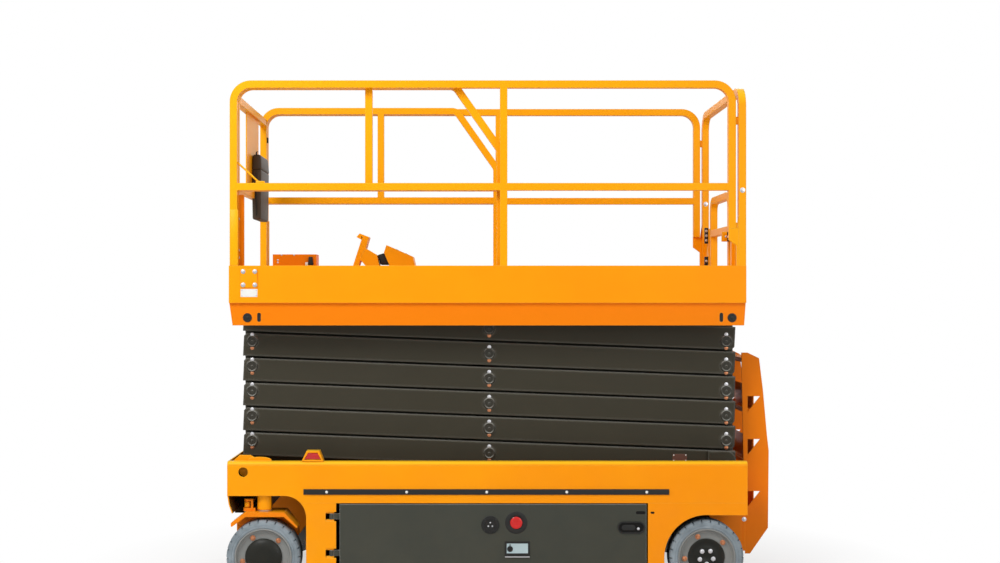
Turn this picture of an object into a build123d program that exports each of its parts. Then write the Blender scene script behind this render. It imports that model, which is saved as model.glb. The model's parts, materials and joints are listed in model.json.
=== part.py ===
from build123d import *
import os
from math import asin, atan2, cos, degrees, hypot, radians, sin, sqrt

# Electric scissor lift with a six-level arm stack, a slide-out deck extension and guard rails.
# +X runs to the rear (ladder end), -Y is the machine's left side, +Z is up and the ground is
# z = 0. Pieces are drawn with x measured from the middle of the chassis, and save() shifts them
# so that the origin is at the bottom centre of the whole machine. All values are millimetres.

# ---- Driving dimensions: chassis ----
CHASSIS_HALF_L = 1335.0
CHASSIS_TOP = 682.0
CHASSIS_BOTTOM = 105.0
SKIN_Y = 615.0              # outer face of the side skins
SKIN = 6.0                  # sheet thickness of the chassis
TOP_BEND = 20.0             # outer radius where the skin turns into the top flange
WELL_Y = 575.0              # half width over the walls of the well that holds the arms
WELL_FLOOR = 560.0          # top of the well's floor
SPINE_Y = 238.0             # half width over the centre spine
FRONT_ROOF = 506.0          # underside of the front overhang and arch
REAR_SKIRT = 407.0          # underside of the rear overhang
FRONT_ARCH_BACK = 220.0     # from the kingpin back to the wall of the front arch
FRONT_ARCH_R = 112.0
REAR_ARCH_R = 218.0
WELL_REAR_LIP = 600.0       # top of the plate that closes the well at the rear
MOULDING_T = 10.0
MOULDING_Z = (513.0, 541.0)
LAMP_X = -898.0
LAMP_H = 54.0
LAMP_DEPTH = 60.0
LAMP_RIM = 9.0
BRACKET_RISE = 35.0
TRACK_T = 10.0
TRACK_W = 74.0
SKIRT_Z = 415.0             # lower edge of the curved skirt at the front
SKIRT_IN = 23.0             # how far it curls back
TRACK_END = 60.0            # track beyond the roller's travel at each end

# ---- Driving dimensions: wheels and steering ----
FRONT_WHEEL_X = 185.0 - CHASSIS_HALF_L
REAR_WHEEL_X = CHASSIS_HALF_L - 209.0
WHEEL_R = 190.5
WHEEL_W = 127.0
WHEEL_OUT_Y = 620.0         # outer face of the tyres
RIM_R = 148.0
KINGPIN_HOUSING_R = 39.0
HOUSING_H = 75.0            # kingpin housing below the roof
KINGPIN_R = 25.0
STEER_ARM = 90.0            # tie rod pin ahead of the kingpin
TIE_ROD_Z = 455.0
TIE_ROD_EYE_H = 24.0
TIE_ROD_EYE_R = 15.0
TIE_PIN_R = 8.0
CLEVIS_IN = 32.0            # web of the steering clevis behind its pin
CLEVIS_T = 12.0
YOKE_TOP = 421.0
YOKE_T = 24.0
STUB_R = 28.0               # stub axles of all wheels

# ---- Driving dimensions: arm stack ----
LEVELS = 6
PIN_REAR_X = CHASSIS_HALF_L - 68.0   # vertical line of the rear pins
PIN_BASE_Z = 635.0          # lowest pins
LEVEL_RISE = 131.4          # rise from one pin row to the next when stowed
PIN_SPAN = 2 * CHASSIS_HALF_L - 162.0   # front to rear between pins when stowed
LIFT_MAX = 57.0             # travel of each arm in degrees
ARM_H = 120.0
ARM_W = 60.0
ARM_WALL = 6.0
ARM_TIP = 45.0              # arm end beyond its pin
ARM_DROP = 18.0             # pins off the tube's centre line at both ends
OUTER_ARM_Y = 393.0         # outer face of the outer arms
ARM_GAP = 10.0              # between outer and inner arms
PIN_R = 25.0
PIN_HEAD_R = 30.0
PIN_HEAD_T = 6.0
BOSS_R = 38.0
RUN = 0.3                   # running clearance of pins, rods and rollers
ROLLER_R = 42.0
CROSS_R = 38.0              # cross tubes between the inner arms

# ---- Driving dimensions: lift cylinders ----
BARREL_R = 55.0
BARREL_BORE_R = 45.0
ROD_R = 30.0
BARREL_PIVOT_U = 80.0       # along the lower arm from its front pin
EYE_TUBE_U = 30.0           # cross tube of the rod's lugs, before the rear pin
LUG_REACH = 125.0           # rod eye ahead of that tube
EYE_R = 36.0
EYE_W = 64.0
LUG_T = 12.0
CLEAR = 5.0                 # least gap between moving pieces

# ---- Driving dimensions: platform ----
PLAT_FRONT = -CHASSIS_HALF_L
PLAT_REAR = CHASSIS_HALF_L + 3.0
PLAT_HALF_W = 568.0
FLOOR_Z = 1539.0
DECK_T = 4.0
DECK_BOTTOM = 1492.0
TOE_TOP = 1689.0
TOE_STEP = 1496.0
FASCIA_BOTTOM = 1379.5
SHEET = 4.0
RAIL = 38.0
RAIL_Y = 545.0
RAIL_TOP = FLOOR_Z + 1107.0
MID_RAIL_Z = FLOOR_Z + 558.0
RAIL_BEND = 91.0
FRONT_POST_X = PLAT_FRONT + 23.0
MID_POST_X = 85.0
REAR_FRAME_X = PLAT_REAR - RAIL / 2
REAR_POST_X = REAR_FRAME_X - 52.5
SADDLE_Z = FLOOR_Z + 343.0
REAR_FRAME_TOP = RAIL_TOP - 27.0
GATE_Y = 285.0              # gate legs each side of the middle
GATE_TOP = FLOOR_Z + 556.0
GATE_BAR_Z = FLOOR_Z + 351.0
GATE_HINGES = (FLOOR_Z + 101.0, FLOOR_Z + 301.0)
GUSSET_T = 14.0
GATE_PIN_Y = 305.0          # hinge line of the gate
GATE_JAMB_Y = 330.0         # panels and posts beside the gate
EXT_TRAVEL = 900.0
EXT_GAP = 8.0
EXT_FLOOR = FLOOR_Z + 16.0  # top of the extension's plate
CONTROL_HALF_W = 110.0
JOISTS = 7
JOIST_PITCH = 400.0
JOIST_START = 135.0         # first joist behind the platform's front
BATTERY_X = (-650.0, 550.0)
PACK_X = (-600.0, 500.0)
EXT_REAR_X = 70.0           # rear post of the extension's rails
EXT_BEND_X = -167.0
EXT_DIAGONAL_Z = 2290.0
EXT_POST_X = -616.0

# ---- Driving dimensions: doors, ladder and fittings ----
DOOR_X = (172.0 + FRONT_WHEEL_X + FRONT_ARCH_BACK, REAR_WHEEL_X - REAR_ARCH_R - 92.0)
DOOR_Z = (130.0, 464.0)
DOOR_OPEN_X = (DOOR_X[0] - 18.0, DOOR_X[1] + 8.0)
DOOR_DEPTH = 26.0
HINGE_X = DOOR_X[0] - 42.0
HINGE_IN = 15.0             # hinge pins behind the skin's face
HINGE_ZS = (212.0, 400.0)
HINGE_PIN_R = 6.0
HINGE_H = 52.0
HINGE_LEAF = 10.0
DOOR_T = 3.0
SOCKET = (801.0, 358.0, 46.0)          # ahead of the door's rear edge, z, radius
STOP_BUTTON = (668.0, 369.0, 31.0)     # the same
SLOT_X = HINGE_X - 30.0
SLOT_H = HINGE_H - 4.0
SLOT_R = 8.0
LADDER_IN = CHASSIS_HALF_L + 38.0
LADDER_OUT = LADDER_IN + 147.0
LADDER_Y = 262.0
LADDER_TOP = 1227.0
LADDER_BOTTOM = 145.0
LADDER_PLATE = 8.0
LADDER_TREADS = (32.0, 302.0, 582.0, 862.0)   # below the ladder's top
LADDER_CUTS = (235.0, 466.0, 746.0)           # the same
TREAD_T = 24.0
TIE_DOWN = (82.0 - CHASSIS_HALF_L, 628.0, 24.5)   # x, z and radius

# ---- Worked-out places ----
FRAME_X = (LADDER_OUT + FRONT_WHEEL_X - WHEEL_R) / 2
ARM_L = hypot(PIN_SPAN, LEVEL_RISE)
STOW_ANGLE = degrees(asin(LEVEL_RISE / ARM_L))
PIN_FRONT_X = PIN_REAR_X - PIN_SPAN
INNER_ARM_Y = OUTER_ARM_Y - ARM_W - ARM_GAP
INNER_FACE_Y = INNER_ARM_Y - ARM_W
OUTER_FACE_Y = OUTER_ARM_Y - ARM_W
PLATFORM_PIN_Z = PIN_BASE_Z + LEVELS * LEVEL_RISE
WHEEL_MID_Y = WHEEL_OUT_Y - WHEEL_W / 2
WHEEL_IN_Y = WHEEL_OUT_Y - WHEEL_W
FRONT_ARCH_X = FRONT_WHEEL_X + FRONT_ARCH_BACK
REAR_ARCH_X = REAR_WHEEL_X - REAR_ARCH_R
TIE_ROD_X = FRONT_WHEEL_X - STEER_ARM
EXT_RAIL_Y = RAIL_Y - RAIL - EXT_GAP
TRAVEL_X = PIN_REAR_X - ARM_L * cos(radians(STOW_ANGLE + LIFT_MAX))
SIDES = (("left", -1), ("right", 1))


# ---- Plain forms ----
def block(x, y, z):
    """A box between two limits on each axis."""
    size = Box(x[1] - x[0], y[1] - y[0], z[1] - z[0])
    return Pos((x[0] + x[1]) / 2, (y[0] + y[1]) / 2, (z[0] + z[1]) / 2) * size


def rect(a, b):
    """A flat rectangle between two limits on both sketch axes."""
    return Pos((a[0] + a[1]) / 2, (b[0] + b[1]) / 2) * Rectangle(a[1] - a[0], b[1] - b[0])


def outline(*points):
    """A flat polygon through the given corners."""
    return make_face(Polyline(*points, close=True))


def slab(sketch, y0, y1):
    """A side view (x, z) given a thickness from y0 to y1."""
    return Pos(0, max(y0, y1), 0) * extrude(Plane.XZ * sketch, amount=abs(y1 - y0))


def sheet(sketch, z0, z1):
    """A plan view (x, y) given a height from z0 to z1."""
    return Pos(0, 0, z0) * extrude(sketch, amount=z1 - z0)


def bulkhead(sketch, x0, x1):
    """An end view (y, z) given a length from x0 to x1."""
    return Pos(x0, 0, 0) * extrude(Plane.YZ * sketch, amount=x1 - x0)


def bar_y(x, z, r, y0, y1):
    """A round bar along Y."""
    return slab(Pos(x, z) * Circle(r), y0, y1)


def bar_z(x, y, r, z0, z1):
    """A round bar along Z."""
    return sheet(Pos(x, y) * Circle(r), z0, z1)


def join(first, *others):
    """One solid from several that touch."""
    return first + list(others)


def both_sides(shape):
    """The shape and its mirror image across the middle of the machine."""
    return [shape, mirror(shape, Plane.XZ)]


def one_side(shape, side):
    """A shape drawn on the right, put on the side with that sign of y."""
    return shape if side > 0 else mirror(shape, Plane.XZ)


def rail_run(points, bends):
    """Square rail tube along a path, with a radius at each corner."""
    path = FilletPolyline(*points, radius=bends) if bends else Polyline(*points)
    start = path ^ 0
    upright = Plane(origin=start.position, z_dir=path % 0, x_dir=square_side(path % 0))
    return sweep(upright * Rectangle(RAIL, RAIL), path=path)


def square_side(direction):
    """A horizontal or vertical direction square to a rail's run."""
    across = Vector(0, 1, 0)
    return Vector(1, 0, 0) if abs(direction.dot(across)) > 0.5 else across


# ---- Chassis ----
def front_arch():
    """Side view of the opening over a steered wheel, open to the front and below."""
    low, front = CHASSIS_BOTTOM - 1, -CHASSIS_HALF_L - 1
    corner_x, corner_z = FRONT_ARCH_X - FRONT_ARCH_R, FRONT_ROOF - FRONT_ARCH_R
    return (rect((front, corner_x), (low, FRONT_ROOF)) + rect((front, FRONT_ARCH_X), (low, corner_z))
            + Pos(corner_x, corner_z) * Circle(FRONT_ARCH_R))


def rear_arch():
    """Side view of the opening over a rear wheel, open to the rear and below."""
    low, rear = CHASSIS_BOTTOM - 1, CHASSIS_HALF_L + 1
    return (rect((REAR_WHEEL_X, rear), (low, REAR_SKIRT)) + Pos(REAR_WHEEL_X, WHEEL_R) * Circle(REAR_ARCH_R)
            + rect((REAR_WHEEL_X - REAR_ARCH_R, rear), (low, WHEEL_R)))


def side_outline(grow=0.0):
    """Side view of the chassis with both arches open, inset all round the arches by grow."""
    whole = rect((-CHASSIS_HALF_L, CHASSIS_HALF_L), (CHASSIS_BOTTOM, CHASSIS_TOP))
    arches = [front_arch(), rear_arch()]
    if grow:
        arches = [offset(arch, amount=grow, kind=Kind.INTERSECTION) for arch in arches]
    return whole - arches[0] - arches[1]


def skin_face():
    """Side view of the outer plate, with its door opening, hinge slots and tie-down hole."""
    face = side_outline() - rect(DOOR_OPEN_X, (DOOR_Z[0] - CLEAR, DOOR_Z[1] + CLEAR))
    face -= rect((-CHASSIS_HALF_L - 1, CHASSIS_HALF_L + 1), (CHASSIS_TOP - TOP_BEND, CHASSIS_TOP + 1))
    for z in HINGE_ZS:
        slot = DOOR_OPEN_X[0] + SLOT_R - SLOT_X
        face -= Pos(SLOT_X + slot / 2, z) * RectangleRounded(slot, SLOT_H, SLOT_R)
    x, z, r = TIE_DOWN
    return face - Pos(x, z) * Circle(r)


def hinge_brackets():
    """Pins and leaves that carry one door, on the inside of the front pillar."""
    pin_y, shapes = SKIN_Y - HINGE_IN, []
    for z in HINGE_ZS:
        shapes.append(bar_z(HINGE_X, pin_y, HINGE_PIN_R, z - HINGE_H / 2, z + HINGE_H / 2))
        for low in (z - HINGE_H / 2, z + HINGE_H / 2 - HINGE_LEAF):
            shapes.append(block((SLOT_X - 12, HINGE_X + 12), (pin_y - 12, SKIN_Y - SKIN),
                                (low, low + HINGE_LEAF)))
    return shapes


def side_skin(side):
    """Outer skin of one side, welded from the plates over, before, behind and below the door."""
    face, (x0, x1), head = skin_face(), DOOR_OPEN_X, DOOR_Z[1] + CLEAR
    over, under, ends = (head, CHASSIS_TOP), (CHASSIS_BOTTOM, head), (-CHASSIS_HALF_L, CHASSIS_HALF_L)
    sill = (CHASSIS_BOTTOM, DOOR_Z[0] - CLEAR)
    zones = (rect(ends, over), rect((ends[0], x0), under), rect((x1, ends[1]), under), rect((x0, x1), sill))
    plates = [slab(face & zone, SKIN_Y - SKIN, SKIN_Y) for zone in zones]
    plates[1] = join(plates[1], *hinge_brackets())
    return [one_side(plate, side) for plate in plates]


def arch_liner(side):
    """Folded liner that follows both wheel arches of one side, with the floor between them."""
    inside = SKIN_Y - SKIN
    liner = slab(side_outline() - side_outline(SKIN), SPINE_Y, inside)
    floor = block((FRONT_ARCH_X, REAR_ARCH_X), (SPINE_Y, inside), (CHASSIS_BOTTOM, CHASSIS_BOTTOM + SKIN))
    return one_side(join(liner, floor), side)


def top_flange():
    """End view (y, z) of the top flange with the bend that joins it to the skin."""
    y, z = SKIN_Y - TOP_BEND, CHASSIS_TOP - TOP_BEND
    ring = Pos(y, z) * (Circle(TOP_BEND) - Circle(TOP_BEND - SKIN))
    bend = ring & rect((y, SKIN_Y), (z, CHASSIS_TOP))
    return bend + rect((WELL_Y - SKIN, y), (CHASSIS_TOP - SKIN, CHASSIS_TOP))


def side_box(side):
    """Top flange, well wall, end plates and well-edge brackets of one side."""
    inside, under = SKIN_Y - SKIN, WELL_FLOOR - SKIN
    x, top = (-CHASSIS_HALF_L, CHASSIS_HALF_L), CHASSIS_TOP - SKIN
    wall = block(x, (WELL_Y - SKIN, WELL_Y), (WELL_FLOOR, top))
    ends = []
    for low, x0 in ((FRONT_ROOF + SKIN, x[0]), (REAR_SKIRT + SKIN, x[1] - SKIN)):
        plate = rect((SPINE_Y, inside), (low, under)) + rect((WELL_Y, inside), (under, top))
        ends.append(bulkhead(plate, x0, x0 + SKIN))
    return one_side(join(bulkhead(top_flange(), *x), wall, *ends, well_bracket()), side)


def well_bracket():
    """Bracket and rounded guide that stand on the well's edge near the front."""
    x, z, rise = TIE_DOWN[0], CHASSIS_TOP - SKIN, BRACKET_RISE
    wedge = outline((x - 62, z), (x - 26, z + rise), (x + 30, z + rise), (x + 90, z))
    hump = rect((x + 20, x + 140), (z, z + rise / 4)) + Pos(x + 80, z + rise / 4) * Ellipse(60, rise / 2)
    hump -= rect((x, x + 160), (z - rise, z))
    return slab(wedge, WELL_Y - 14, WELL_Y - SKIN) + slab(hump, WELL_Y - SKIN, WELL_Y + 4)


def roller_track():
    """Track that one lower roller runs on: a plate on a web that stands on the well's floor."""
    x, top = (PIN_FRONT_X - TRACK_END, TRAVEL_X + TRACK_END), PIN_BASE_Z - ROLLER_R - RUN
    plate = block(x, (OUTER_FACE_Y - 2, OUTER_FACE_Y - 2 + TRACK_W), (top - TRACK_T, top))
    middle = OUTER_FACE_Y - 2 + TRACK_W / 2
    return plate + block(x, (middle - SKIN, middle + SKIN), (WELL_FLOOR, top - TRACK_T))


def lamp_face(inset):
    """Side view of a marker lamp's housing, drawn smaller by the inset on each side."""
    x, low, high = LAMP_X, CHASSIS_TOP + inset, CHASSIS_TOP + LAMP_H - inset
    return outline((x - 56 + 1.3 * inset, low), (x + 56 - 1.3 * inset, low), (x + 35 - inset, high),
                   (x - 31 + inset, high))


def lamp_housing():
    """Housing of a marker lamp on the chassis top, hollow towards the outside."""
    outside = SKIN_Y - CLEAR
    shell = slab(lamp_face(0), outside - LAMP_DEPTH, outside)
    return shell - slab(lamp_face(LAMP_RIM), outside - LAMP_DEPTH + SKIN, outside + 1)


def pivot_brackets():
    """Plates that hold the rear-bottom pin of the lowest outer arm, for one side."""
    x = (PIN_REAR_X - 98, PIN_REAR_X + 48)
    tall = rect(x, (WELL_FLOOR, PIN_BASE_Z)) + Pos(PIN_REAR_X, PIN_BASE_Z) * Circle(48)
    tall += rect((x[0], PIN_REAR_X), (PIN_BASE_Z, PIN_BASE_Z + 79))
    tall += rect((PIN_REAR_X, x[1]), (PIN_BASE_Z, PIN_BASE_Z + 44))
    tall += Pos(PIN_REAR_X, PIN_BASE_Z + 31) * Circle(48)
    low = rect(x, (WELL_FLOOR, PIN_BASE_Z + 44))
    bore = Pos(PIN_REAR_X, PIN_BASE_Z) * Circle(PIN_R + RUN)
    outer = slab(tall - bore, OUTER_ARM_Y + CLEAR, OUTER_ARM_Y + CLEAR + 12)
    inner = slab(low - bore, OUTER_FACE_Y - CLEAR - 12, OUTER_FACE_Y - CLEAR)
    return [outer, inner]


def chassis_spine():
    """Centre of the chassis: well floor, two webs below it and end plates."""
    floor = block((-CHASSIS_HALF_L, CHASSIS_HALF_L), (-WELL_Y, WELL_Y), (WELL_FLOOR - SKIN, WELL_FLOOR))
    deep = (FRONT_ARCH_X + SKIN, REAR_ARCH_X - SKIN)
    web = rect((-CHASSIS_HALF_L, CHASSIS_HALF_L), (FRONT_ROOF, WELL_FLOOR - SKIN))
    web += rect((deep[0], CHASSIS_HALF_L), (REAR_SKIRT - 120, FRONT_ROOF))
    web += rect(deep, (CHASSIS_BOTTOM, FRONT_ROOF))
    webs = both_sides(slab(web, SPINE_Y - 8, SPINE_Y))
    bottom = block(deep, (8 - SPINE_Y, SPINE_Y - 8), (CHASSIS_BOTTOM, CHASSIS_BOTTOM + 8))
    well = WELL_Y - SKIN
    front = bulkhead(rect((-well, well), (WELL_FLOOR, CHASSIS_TOP)) + rect((-SPINE_Y, SPINE_Y),
                     (FRONT_ROOF, WELL_FLOOR)), -CHASSIS_HALF_L, SKIN - CHASSIS_HALF_L)
    rear = bulkhead(rect((-well, well), (WELL_FLOOR, WELL_REAR_LIP)) + rect((-SPINE_Y, SPINE_Y),
                    (REAR_SKIRT - 120, WELL_FLOOR)), CHASSIS_HALF_L - SKIN, CHASSIS_HALF_L)
    return join(floor, *webs, bottom, front, rear)


def front_skirt():
    """Plate that curls down and back below the front end."""
    x, roof, back = -CHASSIS_HALF_L, FRONT_ROOF, SKIRT_IN
    middle = (roof + SKIRT_Z) / 2
    face = outline((x, roof), (x + 0.3 * back, middle), (x + back, SKIRT_Z), (x + back + SKIN, SKIRT_Z + 2),
                   (x + 0.3 * back + SKIN, middle), (x + SKIN, roof))
    return slab(face, SKIN - SKIN_Y, SKIN_Y - SKIN)


def front_axle():
    """Cross beam with a kingpin housing at each end, hung under the front overhang."""
    beam = block((FRONT_WHEEL_X - 35, FRONT_WHEEL_X + 35), (-WHEEL_MID_Y, WHEEL_MID_Y),
                 (FRONT_ROOF - 60, FRONT_ROOF))
    ends = [bar_z(FRONT_WHEEL_X, side * WHEEL_MID_Y, KINGPIN_HOUSING_R, FRONT_ROOF - HOUSING_H, FRONT_ROOF)
            for _, side in SIDES]
    bores = [bar_z(FRONT_WHEEL_X, side * WHEEL_MID_Y, KINGPIN_R + RUN, FRONT_ROOF - HOUSING_H - 1,
                   FRONT_ROOF - 8) for _, side in SIDES]
    return join(beam, *ends) - bores


def rear_axle():
    """Cross tube with a flanged stub for each rear wheel."""
    x = (REAR_WHEEL_X - 45, REAR_WHEEL_X + 45)
    post = [block(x, (side * 180 - 30, side * 180 + 30), (WHEEL_R - 45, WELL_FLOOR - SKIN))
            for _, side in SIDES]
    beam = block(x, (-WHEEL_IN_Y + 40, WHEEL_IN_Y - 40), (WHEEL_R - 45, WHEEL_R + 45))
    stub = bar_y(REAR_WHEEL_X, WHEEL_R, STUB_R, -WHEEL_MID_Y, WHEEL_MID_Y)
    return join(beam, stub, *post)


def yoke_cover():
    """Side view of the folded cover over a steered tyre."""
    x, top, under = FRONT_WHEEL_X, YOKE_TOP, YOKE_TOP - YOKE_T
    return outline((x - 167, top - 69), (x - 163, top - 75), (x - 92, under), (x + 105, under),
                   (x + 170, top - 81), (x + 176, top - 75), (x + 107, top), (x - 94, top),
                   (x - 167, top - 55))


def yoke_leg():
    """Side view of the plate that hangs inside the tyre and carries the stub axle."""
    x, top, low = FRONT_WHEEL_X, YOKE_TOP, WHEEL_R - 60
    return outline((x - 158, top - 76), (x - 158, top - 115), (x - 60, low), (x + 60, low),
                   (x + 166, top - 138), (x + 166, top - 81), (x + 105, top), (x - 92, top))


def clevis():
    """Steering clevis of one knuckle, with the pin through the tie rod's eye."""
    x, y, half = TIE_ROD_X, WHEEL_MID_Y, TIE_ROD_EYE_H / 2
    over, stem = TIE_ROD_Z + half + CLEAR, Pos(TIE_ROD_X, WHEEL_MID_Y)
    low = sheet(rect((x, FRONT_WHEEL_X - KINGPIN_HOUSING_R - 7), (y - 20, y + 20)) + stem * Circle(20),
                YOKE_TOP, TIE_ROD_Z - half - CLEAR)
    web_x = (x + CLEVIS_IN - CLEVIS_T + 1, x + CLEVIS_IN)
    high = sheet(rect((x, web_x[1]), (y + 4, y + 16)) + stem * Circle(16), over, over + CLEVIS_T)
    web = block(web_x, (y + 4, y + 20), (YOKE_TOP, over + CLEVIS_T))
    pin = bar_z(x, y, TIE_PIN_R, YOKE_TOP, over + CLEVIS_T)
    return join(low, high, web, pin)


def knuckle(side):
    """Steered yoke: kingpin, folded cover over the tyre, inner leg, stub axle and steering clevis."""
    x, y = FRONT_WHEEL_X, WHEEL_MID_Y
    leg_y = (WHEEL_IN_Y - 38, WHEEL_IN_Y - 14)
    pin = bar_z(x, y, KINGPIN_R, YOKE_TOP - 11, FRONT_ROOF - 12)
    pin += bar_z(x, y, KINGPIN_R + 9, YOKE_TOP - 11, FRONT_ROOF - HOUSING_H - 1)
    cover = slab(yoke_cover(), y - 60, y + 55)
    shelf = block((x - 92, x + 105), (leg_y[0], y - 60), (YOKE_TOP - YOKE_T, YOKE_TOP))
    axle = bar_y(x, WHEEL_R, STUB_R, leg_y[1], y)
    return one_side(join(pin, cover, slab(yoke_leg(), *leg_y), shelf, axle, clevis()), side)


def tie_rod():
    """Bar that turns both knuckles together, with an eye round each clevis pin."""
    z = (TIE_ROD_Z - TIE_ROD_EYE_H / 2, TIE_ROD_Z + TIE_ROD_EYE_H / 2)
    ends = [bar_z(TIE_ROD_X, side * WHEEL_MID_Y, TIE_ROD_EYE_R, *z) for _, side in SIDES]
    rod = bar_y(TIE_ROD_X, TIE_ROD_Z, TIE_ROD_EYE_R - 4, -WHEEL_MID_Y, WHEEL_MID_Y)
    holes = [bar_z(TIE_ROD_X, side * WHEEL_MID_Y, TIE_PIN_R + RUN, z[0] - 1, z[1] + 1) for _, side in SIDES]
    return join(rod, *ends) - holes


def revolve_y(points, x, side):
    """A profile of (radius, y) corners turned round a wheel's axle, drawn for the right side."""
    profile = make_face(Polyline(*[(r, y, 0) for r, y in points], close=True))
    return Pos(x, 0, WHEEL_R) * one_side(revolve(profile, axis=Axis.Y), side)


def tyre(x, side):
    """Solid rubber tyre with a bevelled outer shoulder."""
    out, inn, r = WHEEL_OUT_Y, WHEEL_IN_Y, WHEEL_R
    tread = ((RIM_R + RUN, inn), (r, inn), (r, out - 16), (r - 14, out), (RIM_R + RUN, out))
    return revolve_y(tread, x, side)


def front_wheel(side):
    """Pressed rim with a deep face and the domed cover of its hub motor."""
    out, inn, bore = WHEEL_OUT_Y, WHEEL_IN_Y, STUB_R + RUN
    face = out - 42
    points = ((bore, inn + 6), (95, inn + 6), (95, face - 14), (RIM_R - 12, face - 14), (RIM_R - 12, inn + 8),
              (RIM_R, inn + 8), (RIM_R, out - 8), (RIM_R - 8, out - 8), (RIM_R - 12, face), (95, face),
              (93, face + 18), (80, out - 8), (55, out), (0.0, out), (0.0, WHEEL_MID_Y + 2),
              (bore, WHEEL_MID_Y + 2))
    return revolve_y(points, FRONT_WHEEL_X, side)


def rear_wheel(side):
    """Pressed rim with a deep face and a flat nave."""
    out, inn, bore = WHEEL_OUT_Y, WHEEL_IN_Y, STUB_R + RUN
    face = out - 42
    points = ((bore, inn + 20), (70, inn + 20), (70, face - 14), (RIM_R - 12, face - 14),
              (RIM_R - 12, inn + 8), (RIM_R, inn + 8), (RIM_R, out - 8), (RIM_R - 8, out - 8),
              (RIM_R - 12, face), (92, face),
              (90, face + 16), (26, face + 16), (22, face + 26), (0.0, face + 26), (0.0, WHEEL_MID_Y + 2),
              (bore, WHEEL_MID_Y + 2))
    return revolve_y(points, REAR_WHEEL_X, side)


def ladder():
    """Two side plates with triangular cut-outs, four steps and brackets to the chassis."""
    x0, x1, top = LADDER_IN, LADDER_OUT, LADDER_TOP
    face = outline((x0, top), (x0 + 33, top), (x1 - 52, top - 30), (x1 - 31, top - 201), (x1 - 10, top - 440),
                   (x1, top - 527), (x1 - 4, top - 943), (x0 + 46, LADDER_BOTTOM), (x0 + 20, LADDER_BOTTOM))
    for drop in LADDER_CUTS:
        face -= outline((x0 + 33, top - drop), (x0 + 101, top - drop), (x0 + 33, top - drop - 85))
    half = LADDER_PLATE / 2
    plates = [slab(face, side * LADDER_Y - half, side * LADDER_Y + half) for _, side in SIDES]
    treads = [block((x0 + 22, x1 - 50), (half - LADDER_Y, LADDER_Y - half),
                    (top - drop - TREAD_T, top - drop)) for drop in LADDER_TREADS]
    mounts = [block((CHASSIS_HALF_L, x0 + 20), (side * LADDER_Y - half, side * LADDER_Y + half),
                    (REAR_SKIRT, WELL_REAR_LIP)) for _, side in SIDES]
    return join(plates[0], plates[1], *treads, *mounts)


def mouldings():
    """Black rubbing strip along both sides of the chassis."""
    strip = block((FRONT_ARCH_X - 13, REAR_ARCH_X + 24), (SKIN_Y, SKIN_Y + MOULDING_T), MOULDING_Z)
    return both_sides(strip)


def door(side):
    """Swing-out side door: folded panel, hinge arms and knuckles, for the given side."""
    x0, x1 = DOOR_X
    y0, y1 = SKIN_Y - DOOR_DEPTH, SKIN_Y
    pan = block(DOOR_X, (y0, y1), DOOR_Z)
    pan -= block((x0 + DOOR_T, x1 - DOOR_T), (y0 - 1, y1 - DOOR_T), (DOOR_Z[0] + DOOR_T, DOOR_Z[1] - DOOR_T))
    pin_y, half = SKIN_Y - HINGE_IN, HINGE_H / 2 - HINGE_LEAF - 1
    for z in HINGE_ZS:
        pan += block((HINGE_X, x0 + 60), (pin_y - 5, pin_y + 5), (z - half, z + half))
        pan += bar_z(HINGE_X, pin_y, HINGE_PIN_R * 2, z - half, z + half)
        pan -= bar_z(HINGE_X, pin_y, HINGE_PIN_R + RUN, z - half - 1, z + half + 1)
    return one_side(pan, side)


def latch_and_socket():
    """Charger socket rim, display and latch on the left door."""
    y, edge = -SKIN_Y, DOOR_X[1]
    x, z = edge - SOCKET[0], SOCKET[1]
    socket = bar_y(x, z, SOCKET[2], y - 6, y) - bar_y(x, z, SOCKET[2] - 12, y - 7, y - 1)
    display = block((edge - 726, edge - 599), (y - 4, y), (199, 273))
    latch = block((edge - 148, edge - 8), (y - 4, y), (313, 375))
    return [socket, display, latch]


def emergency_stop():
    """Red mushroom button on the left door."""
    x, y, z = DOOR_X[1] - STOP_BUTTON[0], -SKIN_Y, STOP_BUTTON[1]
    return bar_y(x, z, 14, y - 8, y) + bar_y(x, z, STOP_BUTTON[2], y - 9.5, y - 3)


# ---- Arm stack ----
def arm_blank(y0, y1):
    """One hollow arm tube along +x from its lower pin at (0, 0), between y0 and y1."""
    end, top, low = ARM_L + ARM_TIP, ARM_H / 2 + ARM_DROP, ARM_DROP - ARM_H / 2
    cut = 14
    tube = outline((-ARM_TIP, low + cut), (cut - ARM_TIP, low), (end, -top), (end, -low - cut),
                   (end - cut, -low), (-ARM_TIP, top))
    hollow = outline((-ARM_TIP - 1, low + ARM_WALL), (end + 1, ARM_WALL - top), (end + 1, -low - ARM_WALL),
                     (-ARM_TIP - 1, top - ARM_WALL))
    body = slab(tube, y0, y1) - slab(hollow, y0 + ARM_WALL, y1 - ARM_WALL)
    return join(body, *[bar_y(u, 0, BOSS_R, y0, y1) for u in (0, ARM_L / 2, ARM_L)])


def stand_inner(shape, level):
    """Put an inner arm's shape at its level: lower pin at the front."""
    z = PIN_BASE_Z + (level - 1) * LEVEL_RISE
    return Pos(PIN_FRONT_X, 0, z) * Rot(0, -STOW_ANGLE, 0) * shape


def stand_outer(shape, level):
    """Put an outer arm's shape at its level: lower pin at the rear."""
    z = PIN_BASE_Z + (level - 1) * LEVEL_RISE
    return Pos(PIN_REAR_X, 0, z) * Rot(0, STOW_ANGLE, 0) * mirror(shape, Plane.YZ)


def pin_through(u, y_in, y_out):
    """A pin with its head disc outside, along Y."""
    return join(bar_y(u, 0, PIN_R, y_in, y_out), bar_y(u, 0, PIN_HEAD_R, y_out, y_out + PIN_HEAD_T))


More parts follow.
